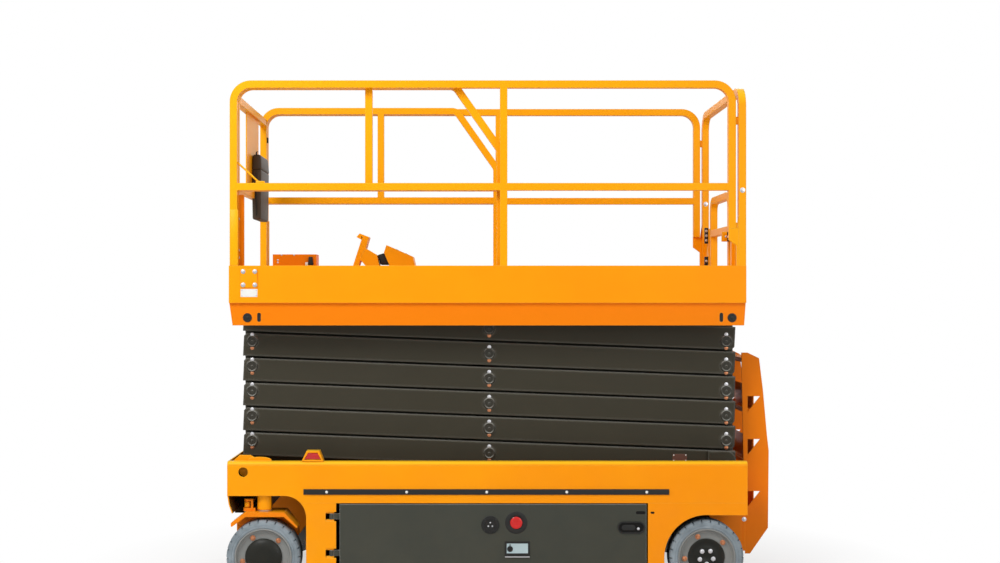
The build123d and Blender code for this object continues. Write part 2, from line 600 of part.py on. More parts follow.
def outer_arms(level):
    """Both outer arms of a level, with the pins that pass through the inner arms."""
    inside = INNER_FACE_Y + 2
    blank = arm_blank(OUTER_FACE_Y, OUTER_ARM_Y)
    ends = [(0, inside, OUTER_ARM_Y), (ARM_L / 2, inside, OUTER_ARM_Y), (ARM_L, inside, OUTER_ARM_Y)]
    if level == 1:
        ends[0] = (0, OUTER_FACE_Y - CLEAR - 14, OUTER_ARM_Y + CLEAR + 14)
    arm = join(blank, *[pin_through(*end) for end in ends])
    if level == LEVELS:
        arm += bar_y(ARM_L, 0, ROLLER_R, INNER_FACE_Y + 4, INNER_ARM_Y - 4)
    return [stand_outer(shape, level) for shape in both_sides(arm)]


def inner_arms(level):
    """Both inner arms of a level, joined by cross tubes, bored for the outer arms' pins."""
    arm = arm_blank(INNER_FACE_Y, INNER_ARM_Y)
    skip_first = level == 1
    for u in (0, ARM_L / 2, ARM_L)[skip_first:]:
        arm -= bar_y(u, 0, PIN_R + RUN, INNER_FACE_Y - 1, INNER_ARM_Y + 1)
    if skip_first:
        arm += bar_y(0, 0, PIN_R, INNER_FACE_Y, OUTER_ARM_Y - 4)
        arm += bar_y(0, 0, ROLLER_R, OUTER_FACE_Y + 4, OUTER_ARM_Y - 4)
    front, rear = cross_places()
    tubes = [bar_y(u, v, CROSS_R, -INNER_FACE_Y, INNER_FACE_Y) for u, v in (front, rear)]
    frame = join(arm, mirror(arm, Plane.XZ), *tubes)
    if level in CYLINDERS.values():
        frame += rod_lugs()
    return stand_inner(frame, level)


def centre_line(u):
    """Height of an arm tube's centre line over its pin line, at u from the lower pin."""
    return ARM_DROP * (1 - 2 * u / ARM_L)


def cross_places():
    """Front and rear cross tubes as (u, v) on the arm."""
    rear = ARM_L - EYE_TUBE_U
    return (BARREL_PIVOT_U, centre_line(BARREL_PIVOT_U)), (rear, centre_line(rear))


def eye_place():
    """Rod eye on the arm, between the rear cross tube's lugs."""
    u = ARM_L - EYE_TUBE_U - LUG_REACH
    return u, centre_line(u)


def rod_lugs():
    """Two lugs on the rear cross tube, one each side of the rod's eye, with stub pins' heads."""
    (eye_u, eye_v), (_, (tube_u, tube_v)) = eye_place(), cross_places()
    face = rect((eye_u, tube_u), (eye_v - 30, eye_v + 30)) + Pos(eye_u, eye_v) * Circle(30)
    gap = EYE_W / 2 + CLEAR
    head = bar_y(eye_u, eye_v, 22, gap + LUG_T, gap + LUG_T + 6)
    lug = join(slab(face, gap, gap + LUG_T), head)
    return both_sides(lug)


# ---- Lift cylinders: barrel on one level's inner arms, rod eye at the next level's lugs ----
CYLINDERS = {1: 2, 4: 5}


def cylinder_line(arm_angle):
    """Length and angle on the lower arm, from barrel pivot to rod eye, at an arm angle in degrees."""
    turn = radians(arm_angle)
    rise = ARM_L * sin(turn)
    (pivot_u, pivot_v), (eye_u, eye_v) = cross_places()[0], eye_place()
    du, dv = eye_u - pivot_u + rise * sin(turn), eye_v - pivot_v + rise * cos(turn)
    return hypot(du, dv), degrees(atan2(dv, du))


def stand_cylinder(shape, level):
    """Put a shape drawn along +x from the barrel's pivot on its level's arms."""
    _, tilt = cylinder_line(STOW_ANGLE)
    u, v = cross_places()[0]
    return stand_inner(Pos(u, 0, v) * Rot(0, -tilt, 0) * shape, level)


def bar_x(r, x0, x1):
    """A round bar along X on the x axis."""
    return bulkhead(Circle(r), x0, x1)


def barrel(level):
    """Hollow barrel, closed at the pivot, with its eye round the front cross tube."""
    length = cylinder_line(STOW_ANGLE)[0]
    mouth = length - EYE_R - 45
    eye = bar_y(0, 0, CROSS_R + 14, -EYE_W, EYE_W)
    tube = bar_x(BARREL_R, CROSS_R + 6, mouth)
    shell = join(tube, eye) - bar_y(0, 0, CROSS_R + RUN, -EYE_W - 1, EYE_W + 1)
    shell -= bar_x(BARREL_BORE_R, CROSS_R + 40, mouth - 40)
    return stand_cylinder(shell - bar_x(ROD_R + RUN, mouth - 41, mouth + 1), level)


def rod(level):
    """Rod with its piston and cross eye."""
    length = cylinder_line(STOW_ANGLE)[0]
    shaft = bar_x(ROD_R, CROSS_R + 80, length)
    piston = bar_x(BARREL_BORE_R - RUN, CROSS_R + 42, CROSS_R + 92)
    return stand_cylinder(join(shaft, piston, bar_y(length, 0, EYE_R, -EYE_W / 2, EYE_W / 2)), level)


# ---- Platform ----
def platform_deck():
    """Deck plate on two long bearers that the top rollers run under, with rear pivot lugs."""
    width, under = (SHEET - PLAT_HALF_W, PLAT_HALF_W - SHEET), FLOOR_Z - DECK_T
    plate = block((PLAT_FRONT, PLAT_REAR), width, (under, FLOOR_Z))
    bearer = block((PLAT_FRONT, PLAT_REAR), (INNER_FACE_Y + 2, INNER_ARM_Y - 2), (DECK_BOTTOM, under))
    roller_top = PLATFORM_PIN_Z + ROLLER_R + RUN
    track = block((PIN_FRONT_X - 60, TRAVEL_X + 60), (INNER_FACE_Y + 2, INNER_ARM_Y - 2),
                  (roller_top, DECK_BOTTOM))
    lug = rect((PIN_REAR_X - 60, PIN_REAR_X + 50), (PLATFORM_PIN_Z, under))
    lug = slab(lug + Pos(PIN_REAR_X, PLATFORM_PIN_Z) * Circle(36), OUTER_FACE_Y + 4, OUTER_FACE_Y + 16)
    pin = bar_y(PIN_REAR_X, PLATFORM_PIN_Z, PIN_R, INNER_FACE_Y + 2, OUTER_FACE_Y + 22)
    joists = [block((x, x + 6), width, (DECK_BOTTOM + 8, under))
              for x in [PLAT_FRONT + JOIST_START + i * JOIST_PITCH for i in range(JOISTS)]]
    parts = [*both_sides(bearer), *both_sides(track), *both_sides(lug), *both_sides(pin)]
    return join(plate, *parts, *joists)


def side_fascia():
    """Toe-board, step and lower fascia along one side of the platform."""
    y = PLAT_HALF_W
    toe = block((PLAT_FRONT, PLAT_REAR), (y - SHEET, y), (TOE_STEP, TOE_TOP))
    step = block((PLAT_FRONT, PLAT_REAR), (y - 20, y - SHEET), (TOE_STEP, TOE_STEP + SHEET))
    low = outline((PLAT_FRONT, TOE_STEP), (PLAT_FRONT + 17, FASCIA_BOTTOM), (PLAT_REAR - 8, FASCIA_BOTTOM),
                  (PLAT_REAR, TOE_STEP))
    low -= Pos(PIN_FRONT_X, PLATFORM_PIN_Z - 4) * Circle(21)
    low -= Pos(PIN_REAR_X, PLATFORM_PIN_Z - 4) * Circle(21)
    for x in (PIN_FRONT_X + 60, PIN_REAR_X - 55):
        low -= Pos(x, PLATFORM_PIN_Z - 2) * SlotOverall(48, 19, rotation=90)
    return join(toe, step, slab(low, y - 20, y - 20 + SHEET))


def side_rail():
    """Fixed guard rail of one side: hoop, middle post and middle rail."""
    top, low = RAIL_TOP - RAIL / 2, FLOOR_Z
    hoop = rail_run([(FRONT_POST_X, 0, low), (FRONT_POST_X, 0, top), (REAR_POST_X, 0, top),
                     (REAR_POST_X, 0, SADDLE_Z)], [RAIL_BEND, RAIL_BEND])
    post = rail_run([(MID_POST_X, 0, low), (MID_POST_X, 0, top - RAIL / 2)], None)
    middle = rail_run([(FRONT_POST_X + RAIL / 2, 0, MID_RAIL_Z),
                       (REAR_POST_X - RAIL / 2, 0, MID_RAIL_Z)], None)
    return Pos(0, RAIL_Y, 0) * join(hoop, post, middle)


def rear_frame():
    """Hoop across the rear with links to the side rails."""
    side, top = RAIL_Y, REAR_FRAME_TOP - RAIL / 2
    hoop = rail_run([(REAR_FRAME_X, -side, FLOOR_Z), (REAR_FRAME_X, -side, top), (REAR_FRAME_X, side, top),
                     (REAR_FRAME_X, side, FLOOR_Z)], [RAIL_BEND, RAIL_BEND])
    link = block((REAR_POST_X + RAIL / 2, REAR_FRAME_X - RAIL / 2), (side - 8, side + 8),
                 (RAIL_TOP - 226, RAIL_TOP - 186))
    return join(hoop, *both_sides(link))


def gate_jambs():
    """Posts and panels beside the gate with its hinge pins, and gussets under the side rails."""
    rear, half, outer = REAR_FRAME_X - RAIL / 2, RAIL / 2, RAIL_Y + RAIL / 2
    plate = outline((REAR_POST_X - half, SADDLE_Z), (REAR_POST_X - half, SADDLE_Z - 60),
                    (rear - 12, SADDLE_Z - 90), (rear - 12, FLOOR_Z), (rear, FLOOR_Z),
                    (rear, SADDLE_Z + 70), (REAR_POST_X + half + 6, SADDLE_Z))
    gusset = slab(plate, outer - GUSSET_T, outer)
    panel = block((REAR_FRAME_X - 3, REAR_FRAME_X + 3), (GATE_JAMB_Y, RAIL_Y - half), (FLOOR_Z, SADDLE_Z))
    post = rail_run([(REAR_FRAME_X, GATE_JAMB_Y + half, FLOOR_Z),
                     (REAR_FRAME_X, GATE_JAMB_Y + half, SADDLE_Z + 40)], None)
    jamb = join(panel, post)
    return [join(jamb, *gate_pins()), mirror(jamb, Plane.XZ), *both_sides(gusset)]


def gate():
    """Half-height entry gate: a hoop with a cross bar and toe-board, on knuckles at its right side."""
    top, x, half, low = GATE_TOP - RAIL / 2, REAR_FRAME_X, GATE_Y - RAIL / 2, FLOOR_Z + 30
    hoop = rail_run([(x, -half, low), (x, -half, top), (x, half, top), (x, half, low)], [60, 60])
    bar = rail_run([(x, -half, GATE_BAR_Z), (x, half, GATE_BAR_Z)], None)
    board = block((x - 2, x + 2), (RAIL / 2 - half, half - RAIL / 2), (low, TOE_TOP))
    knuckles = [block((x - 8, x + 8), (GATE_Y, GATE_PIN_Y), (z - 25, z + 25))
                + bar_z(x, GATE_PIN_Y, 11, z - 25, z + 25)
                - bar_z(x, GATE_PIN_Y, HINGE_PIN_R + RUN, z - 26, z + 26) for z in GATE_HINGES]
    return join(hoop, bar, board, *knuckles)


def gate_pins():
    """Hinge pins of the gate, each between two leaves on the right jamb."""
    shapes = []
    for z in GATE_HINGES:
        shapes.append(bar_z(REAR_FRAME_X, GATE_PIN_Y, HINGE_PIN_R, z - 34, z + 34))
        for low in (z - 34, z + 26):
            shapes.append(block((REAR_FRAME_X - 9, REAR_FRAME_X + 9), (GATE_PIN_Y - 9, GATE_JAMB_Y),
                                (low, low + 8)))
    return shapes


# ---- Deck extension ----
def extension_deck():
    """Slide-out deck on runners, with toe-boards at the front and sides."""
    y, floor = EXT_RAIL_Y + RAIL / 2, EXT_FLOOR - SHEET
    plate = block((PLAT_FRONT, EXT_REAR_X + RAIL / 2), (-y, y), (floor, floor + SHEET))
    runner = block((PLAT_FRONT + 40, EXT_REAR_X), (EXT_RAIL_Y - 15, EXT_RAIL_Y + 15), (FLOOR_Z + RUN, floor))
    toe = block((PLAT_FRONT, EXT_REAR_X + RAIL / 2), (y - SHEET, y), (floor + SHEET, TOE_TOP))
    front = block((PLAT_FRONT, PLAT_FRONT + SHEET), (SHEET - y, y - SHEET), (floor + SHEET, TOE_TOP))
    return join(plate, front, *both_sides(runner), *both_sides(toe))


def extension_rails():
    """Guard rails of the extension: side hoops with a diagonal, and the front frame."""
    top, floor = RAIL_TOP - RAIL / 2, EXT_FLOOR
    x, y = FRONT_POST_X, EXT_RAIL_Y - SHEET
    hoop = rail_run([(x, y, floor), (x, y, top), (EXT_BEND_X, y, top), (EXT_REAR_X, y, EXT_DIAGONAL_Z),
                     (EXT_REAR_X, y, floor)], [RAIL_BEND, 50, 50])
    middle = rail_run([(x + RAIL / 2, y, MID_RAIL_Z), (EXT_REAR_X - RAIL / 2, y, MID_RAIL_Z)], None)
    post = rail_run([(EXT_POST_X, y, MID_RAIL_Z + RAIL / 2), (EXT_POST_X, y, top - RAIL / 2)], None)
    bars = [rail_run([(x, RAIL / 2 - y, z), (x, y - RAIL / 2, z)], None) for z in (MID_RAIL_Z, top - 70)]
    plate = block((x - 3, x + 3), (-150, 270), (MID_RAIL_Z + RAIL / 2, top - 70 - RAIL / 2))
    return join(hoop, mirror(hoop, Plane.XZ), *both_sides(middle), *both_sides(post), *bars, plate)


def manual_box():
    """Document box on the inside of the front frame."""
    x = FRONT_POST_X + RAIL / 2
    box = block((x, x + 95), (20, 290), (MID_RAIL_Z - 137, MID_RAIL_Z + 233))
    return chamfer(box.edges().filter_by(Axis.Z).group_by(Axis.X)[-1], 30)


def control_box():
    """Platform control box: pedestal, faceted housing, and the leaning bracket ahead of its grip."""
    x, z = EXT_POST_X, EXT_FLOOR
    pedestal = block((x - 30, x + 220), (-CONTROL_HALF_W + 15, CONTROL_HALF_W - 15), (z, z + 130))
    housing = outline((x + 60, z + 130), (x + 84, z + 147), (x + 54, z + 215), (x + 68, z + 257),
                      (x + 214, z + 193), (x + 230, z + 120), (x + 60, z + 120))
    plate = outline((x - 168, z), (x - 136, z), (x - 84, z + 160), (x - 49, z + 240), (x - 32, z + 300),
                    (x - 62, z + 311), (x - 73, z + 289), (x - 119, z + 147))
    fold = outline((x - 101, z + 303), (x - 83, z + 323), (x - 31, z + 303), (x - 36, z + 294),
                   (x - 74, z + 306), (x - 73, z + 288))
    arm = outline((x - 84, z + 182), (x - 49, z + 240), (x + 13, z + 204), (x + 30, z + 130),
                  (x - 28, z + 120))
    return join(pedestal, slab(housing, -CONTROL_HALF_W, CONTROL_HALF_W), slab(plate, -60, 60),
                slab(fold, -60, 60), slab(arm, -70, 70))


def deck_box():
    """Low steel box at the front of the extension."""
    return block((PLAT_FRONT + 155, PLAT_FRONT + 397), (-60, 60), (EXT_FLOOR, EXT_FLOOR + 207))


# ---- Heavy masses ----
def battery_block():
    """Drive batteries behind the left door."""
    return block(BATTERY_X, (-SKIN_Y + 60, -SPINE_Y - 40), (CHASSIS_BOTTOM + SKIN, 390))


def power_pack():
    """Pump, motor and tank behind the right door."""
    return block(PACK_X, (SPINE_Y + 40, SKIN_Y - 60), (CHASSIS_BOTTOM + SKIN, 400))


def pieces():
    """Every node with its shapes."""
    nodes = {"chassis_spine": [chassis_spine()], "front_axle": [front_axle()], "rear_axle": [rear_axle()]}
    for name, side in SIDES:
        nodes[f"side_skin_{name}"] = side_skin(side)
        nodes[f"arch_liner_{name}"] = [arch_liner(side)]
        nodes[f"side_box_{name}"] = [side_box(side)]
        nodes[f"door_{name}"] = [door(side)]
        nodes[f"knuckle_{name}"] = [knuckle(side)]
        nodes[f"tyre_front_{name}"] = [tyre(FRONT_WHEEL_X, side)]
        nodes[f"tyre_rear_{name}"] = [tyre(REAR_WHEEL_X, side)]
        nodes[f"wheel_front_{name}"] = [front_wheel(side)]
        nodes[f"wheel_rear_{name}"] = [rear_wheel(side)]
    nodes["front_axle"].append(front_skirt())
    nodes["arm_pivots"] = [plate for bracket in pivot_brackets() for plate in both_sides(bracket)]
    nodes["roller_tracks"] = both_sides(roller_track())
    nodes["marker_lamps"] = both_sides(lamp_housing())
    nodes["mouldings"] = mouldings()
    nodes["door_fittings"] = latch_and_socket()
    nodes["emergency_stop"] = [emergency_stop()]
    nodes["tie_rod"] = [tie_rod()]
    nodes["ladder"] = [ladder()]
    nodes["battery_block"], nodes["power_pack"] = [battery_block()], [power_pack()]
    for level in range(1, LEVELS + 1):
        nodes[f"outer_arms_{level}"] = outer_arms(level)
        nodes[f"inner_arms_{level}"] = [inner_arms(level)]
    for name, level in zip(("lower", "upper"), CYLINDERS):
        nodes[f"{name}_barrel"], nodes[f"{name}_rod"] = [barrel(level)], [rod(level)]
    nodes["platform_deck"] = [platform_deck()]
    nodes["platform_sides"] = both_sides(side_fascia())
    nodes["side_rails"] = both_sides(side_rail())
    nodes["rear_rail_frame"], nodes["gate_jambs"] = [rear_frame()], gate_jambs()
    nodes["entry_gate"] = [gate()]
    nodes["extension_deck"] = [extension_deck()]
    nodes["extension_rails"] = [extension_rails()]
    nodes["manual_box"], nodes["control_box"] = [manual_box()], [control_box()]
    nodes["deck_box"] = [deck_box()]
    return nodes


def save(node, shapes):
    """Write a node's solids, shifted to the machine's origin."""
    solids = [solid for shape in shapes for solid in (Pos(-FRAME_X, 0, 0) * shape).solids()]
    export_step(Compound(children=solids), f"parts/{node}.step")


def main():
    os.makedirs("parts", exist_ok=True)
    for node, shapes in pieces().items():
        save(node, shapes)


if __name__ == "__main__":
    main()
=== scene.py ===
"""Looks of an electric scissor lift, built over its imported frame.

The machine is a slab lift: a yellow wheeled chassis, a folded stack of dark arms, and a
platform with guard rails and a slide-out deck. Lengths are metres in the frame's own axes:
+X runs to the ladder, -Y is the machine's left side and +Z is up.
"""

import json
import logging
import math
from contextlib import contextmanager
from dataclasses import dataclass
from enum import Enum
from functools import lru_cache
from typing import Callable, Dict, Iterable, Iterator, List, Optional, Sequence, Tuple, Union

import bmesh
import bpy
from mathutils import Matrix, Vector

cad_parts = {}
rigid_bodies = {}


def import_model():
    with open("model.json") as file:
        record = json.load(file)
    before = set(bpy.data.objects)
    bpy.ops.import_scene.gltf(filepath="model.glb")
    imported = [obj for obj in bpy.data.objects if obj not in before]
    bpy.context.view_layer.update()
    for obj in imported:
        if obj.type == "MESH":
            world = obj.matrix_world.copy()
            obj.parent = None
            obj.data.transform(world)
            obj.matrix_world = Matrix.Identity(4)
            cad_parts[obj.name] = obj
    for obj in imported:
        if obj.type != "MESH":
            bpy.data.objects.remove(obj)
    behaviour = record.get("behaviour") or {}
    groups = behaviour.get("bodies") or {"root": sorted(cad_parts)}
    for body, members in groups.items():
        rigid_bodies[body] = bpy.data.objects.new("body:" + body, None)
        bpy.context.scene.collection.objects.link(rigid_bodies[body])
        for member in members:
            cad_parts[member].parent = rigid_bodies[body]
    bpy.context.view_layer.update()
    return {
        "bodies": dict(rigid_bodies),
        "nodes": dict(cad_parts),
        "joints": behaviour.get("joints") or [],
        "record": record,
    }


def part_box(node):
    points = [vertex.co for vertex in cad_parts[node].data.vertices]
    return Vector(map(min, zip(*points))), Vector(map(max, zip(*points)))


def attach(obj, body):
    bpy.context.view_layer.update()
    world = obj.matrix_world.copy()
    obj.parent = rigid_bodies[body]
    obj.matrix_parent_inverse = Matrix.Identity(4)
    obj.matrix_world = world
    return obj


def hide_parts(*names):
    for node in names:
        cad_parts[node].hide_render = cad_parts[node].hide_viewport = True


LOG = logging.getLogger("scissor_lift")
FACE_ON = 0.9      # cosine that a face's normal passes to look along an axis
Pair = Tuple[float, float]
Point = Tuple[float, float, float]
Colour = Point
Quad = Tuple[float, float, float, float]
Test = Callable[[Vector, Vector], bool]


class Side(Enum):
    """The two sides of the machine, by the sign of y."""

    LEFT = -1
    RIGHT = 1

    @property
    def tag(self) -> str:
        """The side's name as it stands in other names."""
        return self.name.lower()


class Axis(Enum):
    """Directions that round pieces lie along."""

    X = 0
    Y = 1
    Z = 2


def srgb(red: int, green: int, blue: int) -> Colour:
    """Turn a display colour of 0 to 255 into linear values.

    Args:
        red: Red share.
        green: Green share.
        blue: Blue share.

    Returns:
        The three linear values.
    """
    def one(value: int) -> float:
        """Linear value of one channel."""
        share = value / 255
        return share / 12.92 if share <= 0.04045 else ((share + 0.055) / 1.055) ** 2.4

    return one(red), one(green), one(blue)


# ---------------------------------------------------------------- shader maths
class Maths:
    """A shader socket with Python's operators, each of which adds a Math node."""

    def __init__(self, tree: bpy.types.NodeTree, socket: bpy.types.NodeSocket) -> None:
        """Keep the tree and the socket.

        Args:
            tree: Node tree that the socket belongs to.
            socket: Output socket with the value.
        """
        self.tree = tree
        self.socket = socket

    def _join(self, operation: str, first: object, second: object = None, clamp: bool = False) -> "Maths":
        """Add one Math node.

        Args:
            operation: Its operation.
            first: Value or Maths of its first input.
            second: Value or Maths of its second input.
            clamp: Whether the result is kept between 0 and 1.

        Returns:
            The node's output.
        """
        made = self.tree.nodes.new("ShaderNodeMath")
        made.operation, made.use_clamp = operation, clamp
        for place, value in enumerate((first, second)):
            if isinstance(value, Maths):
                self.tree.links.new(value.socket, made.inputs[place])
            elif value is not None:
                made.inputs[place].default_value = float(value)
        return Maths(self.tree, made.outputs[0])

    def __add__(self, other: object) -> "Maths":
        """Sum."""
        return self._join("ADD", self, other)

    def __sub__(self, other: object) -> "Maths":
        """Difference."""
        return self._join("SUBTRACT", self, other)

    def __rsub__(self, other: object) -> "Maths":
        """Difference with this value taken away."""
        return self._join("SUBTRACT", other, self)

    def __mul__(self, other: object) -> "Maths":
        """Product."""
        return self._join("MULTIPLY", self, other)

    def __truediv__(self, other: object) -> "Maths":
        """Quotient."""
        return self._join("DIVIDE", self, other)

    def __gt__(self, other: object) -> "Maths":
        """1 where this is greater, or else 0."""
        return self._join("GREATER_THAN", self, other)

    def __lt__(self, other: object) -> "Maths":
        """1 where this is less, or else 0."""
        return self._join("LESS_THAN", self, other)

    def __abs__(self) -> "Maths":
        """Size without its sign."""
        return self._join("ABSOLUTE", self)

    __radd__ = __add__
    __rmul__ = __mul__

    def kept(self) -> "Maths":
        """The value kept between 0 and 1."""
        return self._join("ADD", self, 0.0, clamp=True)

    def root(self) -> "Maths":
        """Square root."""
        return self._join("SQRT", self)


Value = Union[float, Colour, Maths]


class Tree:
    """A node tree, emptied, with one short way to add its nodes."""

    def __init__(self, tree: bpy.types.NodeTree, output: str) -> None:
        """Empty the tree and add its output.

        Args:
            tree: The tree.
            output: Type of its output node without the prefix.
        """
        self.tree = tree
        self.tree.nodes.clear()
        self.out = self.tree.nodes.new("ShaderNode" + output)

    def node(self, kind: str, settings: Optional[Dict[str, object]] = None,
             inputs: Optional[Dict[Union[str, int], object]] = None, out: Union[str, int] = 0) -> Maths:
        """Add a node, set it, and fill its sockets.

        Args:
            kind: Type of the node without its prefix.
            settings: Properties to set before the sockets, with a ramp's stops under "stops".
            inputs: Values or links by socket name or number.
            out: Output to return.

        Returns:
            The chosen output.
        """
        made = self.tree.nodes.new("ShaderNode" + kind)
        for key, value in (settings or {}).items():
            if key == "stops":
                self._stops(made.color_ramp, value)
            else:
                setattr(made, key, value)
        for key, value in (inputs or {}).items():
            self.feed(made.inputs[key], value)
        return Maths(self.tree, made.outputs[out])

    @staticmethod
    def _stops(ramp: bpy.types.ColorRamp, stops: Sequence[Pair]) -> None:
        """Give a ramp grey stops.

        Args:
            ramp: The ramp.
            stops: Place and brightness of each stop, in order.
        """
        for count, (place, level) in enumerate(stops):
            stop = ramp.elements[count] if count < 2 else ramp.elements.new(place)
            stop.position, stop.color = place, (level, level, level, 1)

    def feed(self, socket: bpy.types.NodeSocket, value: object) -> None:
        """Link or set one input socket.

        Args:
            socket: The input.
            value: A Maths, a number, a colour or a vector.
        """
        if isinstance(value, Maths):
            self.tree.links.new(value.socket, socket)
        elif isinstance(value, (tuple, list)) and socket.type == "RGBA":
            socket.default_value = (*value[:3], 1.0)
        else:
            socket.default_value = value

    def show(self, surface: Maths) -> None:
        """Link a surface or background to the tree's output."""
        self.tree.links.new(surface.socket, self.out.inputs[0])


class Shader(Tree):
    """One material's node tree, with short ways to shape its colour and relief."""

    FINE = 0.55
    EDGE_GAIN = 14.0

    def __init__(self, name: str) -> None:
        """Make an empty material.

        Args:
            name: Name of the material.
        """
        self.material = bpy.data.materials.new(name)
        self.material.use_nodes = True
        super().__init__(self.material.node_tree, "OutputMaterial")

    def place(self) -> Maths:
        """Object coordinates."""
        return self.node("TexCoord", out="Object")

    def axis(self, axis: Axis) -> Maths:
        """One of the object coordinates."""
        return self.node("SeparateXYZ", inputs={0: self.place()}, out=axis.value)

    def noise(self, scale: float, detail: float = 4.0) -> Maths:
        """Cloudy noise in object space.

        Args:
            scale: Waves per metre.
            detail: Layers of finer noise.

        Returns:
            Its value, about 0.5 on average.
        """
        return self.node("TexNoise", inputs={"Vector": self.place(), "Scale": scale, "Detail": detail,
                                             "Roughness": self.FINE})

    def worn_edges(self, normal: Maths) -> Maths:
        """How far a rounded edge's normal turns from the flat face, 0 away from edges.

        Args:
            normal: Normal that is rounded near the edges.

        Returns:
            A share from 0 to 1.
        """
        flat = self.node("NewGeometry", out="Normal")
        same = self.node("VectorMath", {"operation": "DOT_PRODUCT"}, {0: normal, 1: flat}, "Value")
        return ((1 - same) * self.EDGE_GAIN).kept()

    def ramp(self, value: Maths, *stops: Pair) -> Maths:
        """A value passed through grey stops."""
        return self.node("ValToRGB", {"stops": stops}, {0: value})

    def blend(self, share: Union[float, Maths], first: Value, second: Value) -> Maths:
        """Mix two colours.

        Args:
            share: How much of the second.
            first: First colour.
            second: Second colour.

        Returns:
            The mixed colour.
        """
        return self.node("Mix", {"data_type": "RGBA"}, {0: share, 6: first, 7: second}, out=2)

    def bump(self, height: Maths, depth: float, strength: float, below: Optional[Maths] = None) -> Maths:
        """Relief from a height.

        Args:
            height: Height from 0 to 1.
            depth: Depth in metres of that height.
            strength: Share of the relief that shows.
            below: Relief that this one is added to.

        Returns:
            The normal.
        """
        inputs: Dict[Union[str, int], object] = {"Height": height, "Distance": depth, "Strength": strength}
        if below is not None:
            inputs["Normal"] = below
        return self.node("Bump", inputs=inputs)

    def surface(self, **sockets: object) -> bpy.types.Material:
        """Finish the material with one principled surface.

        Args:
            **sockets: Values or links by socket name, with _ for a space.

        Returns:
            The material.
        """
        inputs = {key.replace("_", " "): value for key, value in sockets.items()}
        self.show(self.node("BsdfPrincipled", inputs=inputs))
        return self.material


# ---------------------------------------------------------------- finishes
@dataclass(frozen=True)
class Finish:
    """A kind of surface, known by its name."""

    name: str
    colour: Colour

    def make(self) -> bpy.types.Material:
        """Build the material."""
        raise NotImplementedError


@dataclass(frozen=True)
class Paint(Finish):
    """Sprayed or powder paint on steel, with its flow marks and dust, and edges where paint wears through
    that also carry a painted edge highlight. Its tops carry a painted highlight, and a painted shade
    deepens towards the rear.

    The constants are the waves per metre of its random tone drift, grime, grain and panel waves, and
    the distance from the origin to the front end, where the painted shade towards the rear starts.
    """

    DRIFT, GRIME, GRAIN, WAVES = 1.7, 7.0, 420.0, 6.0
    REACH = 1.4

    shade: Colour
    slot: str = "body_paint"
    rough: float = 0.36
    shine: float = 0.12
    dust: Colour = srgb(168, 150, 118)
    dust_top: float = 0.75
    dust_most: float = 0.07
    flow: float = 0.00012
    wavy: float = 0.0012
    edge: float = 0.003
    # Edges where paint wears through, also a painted edge highlight: a lighter colour on every rounded edge.
    worn: Colour = srgb(255, 196, 84)
    wear: float = 0.45
    # Painted highlight: a lighter colour where the rounded normal turns upwards, on tops and upper edges.
    faded: Colour = srgb(255, 208, 40)
    fade: float = 0.7

    def stained(self, shader: Shader, tint: Maths) -> Maths:
        """The colour with the painted shade of a certain place, of which plain paint has none."""
        return tint

    def make(self) -> bpy.types.Material:
        """Build the material."""
        shader = Shader(self.name)
        drift, grime = shader.noise(self.DRIFT, 3.0), shader.noise(self.GRIME, 6.0)
        low = (1 - shader.axis(Axis.Z) / self.dust_top).kept()
        dusty = (low * shader.ramp(grime, (0.3, 0.0), (0.85, 1.0)) * self.dust_most).kept()
        # Painted shade: the tone deepens steadily from the front end towards the rear, over a random drift.
        rear_shade = (shader.axis(Axis.X) + self.REACH) * 0.25
        drift_and_rear_shade = (shader.ramp(drift, (0.35, 0.0), (0.68, 1.0)) * 0.4 + rear_shade).kept()
        tint = shader.blend(drift_and_rear_shade, self.colour, self.shade)
        edge = shader.node("Bevel", {"samples": 4}, {"Radius": self.edge})
        # Paint wearing through on the rounded edges, also a painted edge highlight.
        worn_lit_edges = shader.worn_edges(edge) * (0.55 + grime * 0.6) * self.wear
        # Painted highlight where the rounded normal points up.
        lit_tops = ((shader.node("SeparateXYZ", inputs={0: edge}, out="Z") - 0.1) * 1.7).kept() * self.fade
        tint = self.stained(shader, shader.blend(lit_tops, tint, self.faded))
        normal = shader.bump(shader.noise(self.GRAIN, 2.0), self.flow, 0.35, edge)
        wave = shader.bump(shader.noise(self.WAVES, 2.0), self.wavy, 0.25, normal)
        tint = shader.blend(worn_lit_edges, shader.blend(dusty, tint, self.dust), self.worn)
        return shader.surface(Base_Color=tint,
                              Roughness=self.rough + grime * 0.10 + dusty * 0.5,
                              Specular_IOR_Level=self.shine, Normal=wave)


@dataclass(frozen=True)
class FasciaPaint(Paint):
    """Paint with painted shade, a deeper orange, on the recessed part under the step."""

    # Painted shade: a deeper orange under the step.
    under: Colour = srgb(238, 126, 2)
    under_top: float = 1.4955

    def stained(self, shader: Shader, tint: Maths) -> Maths:
        """The colour, with painted shade under the step."""
        return shader.blend(shader.axis(Axis.Z) < self.under_top, tint, self.under)


@dataclass(frozen=True)
class ChassisPaint(Paint):
    """Paint with painted shade, a near-black brown, inside the wheel arches and behind the front skirt."""

    # Painted shade: a near-black brown on the hidden faces.
    dirt: Colour = srgb(46, 26, 8)
    inner_half: float = 0.572
    inner_top: float = 0.557
    middle: float = -0.09
    end_reach: float = 1.325
    skirt_reach: float = -1.36

    def stained(self, shader: Shader, tint: Maths) -> Maths:
        """The colour with painted shade on the hidden faces, mottled a little at random."""
        x, y, z = (shader.axis(axis) for axis in Axis)
        arches = (abs(y) < self.inner_half) * (z < self.inner_top) * (abs(x - self.middle) < self.end_reach)
        normal = shader.node("NewGeometry", out="Normal")
        rearward = shader.node("SeparateXYZ", inputs={0: normal}, out="X") > 0.1
        skirt = (x < self.skirt_reach) * (z < self.inner_top) * rearward
        cover = (arches + skirt).kept() * (0.82 + shader.noise(9.0) * 0.2).kept()
        return shader.blend(cover, tint, self.dirt)


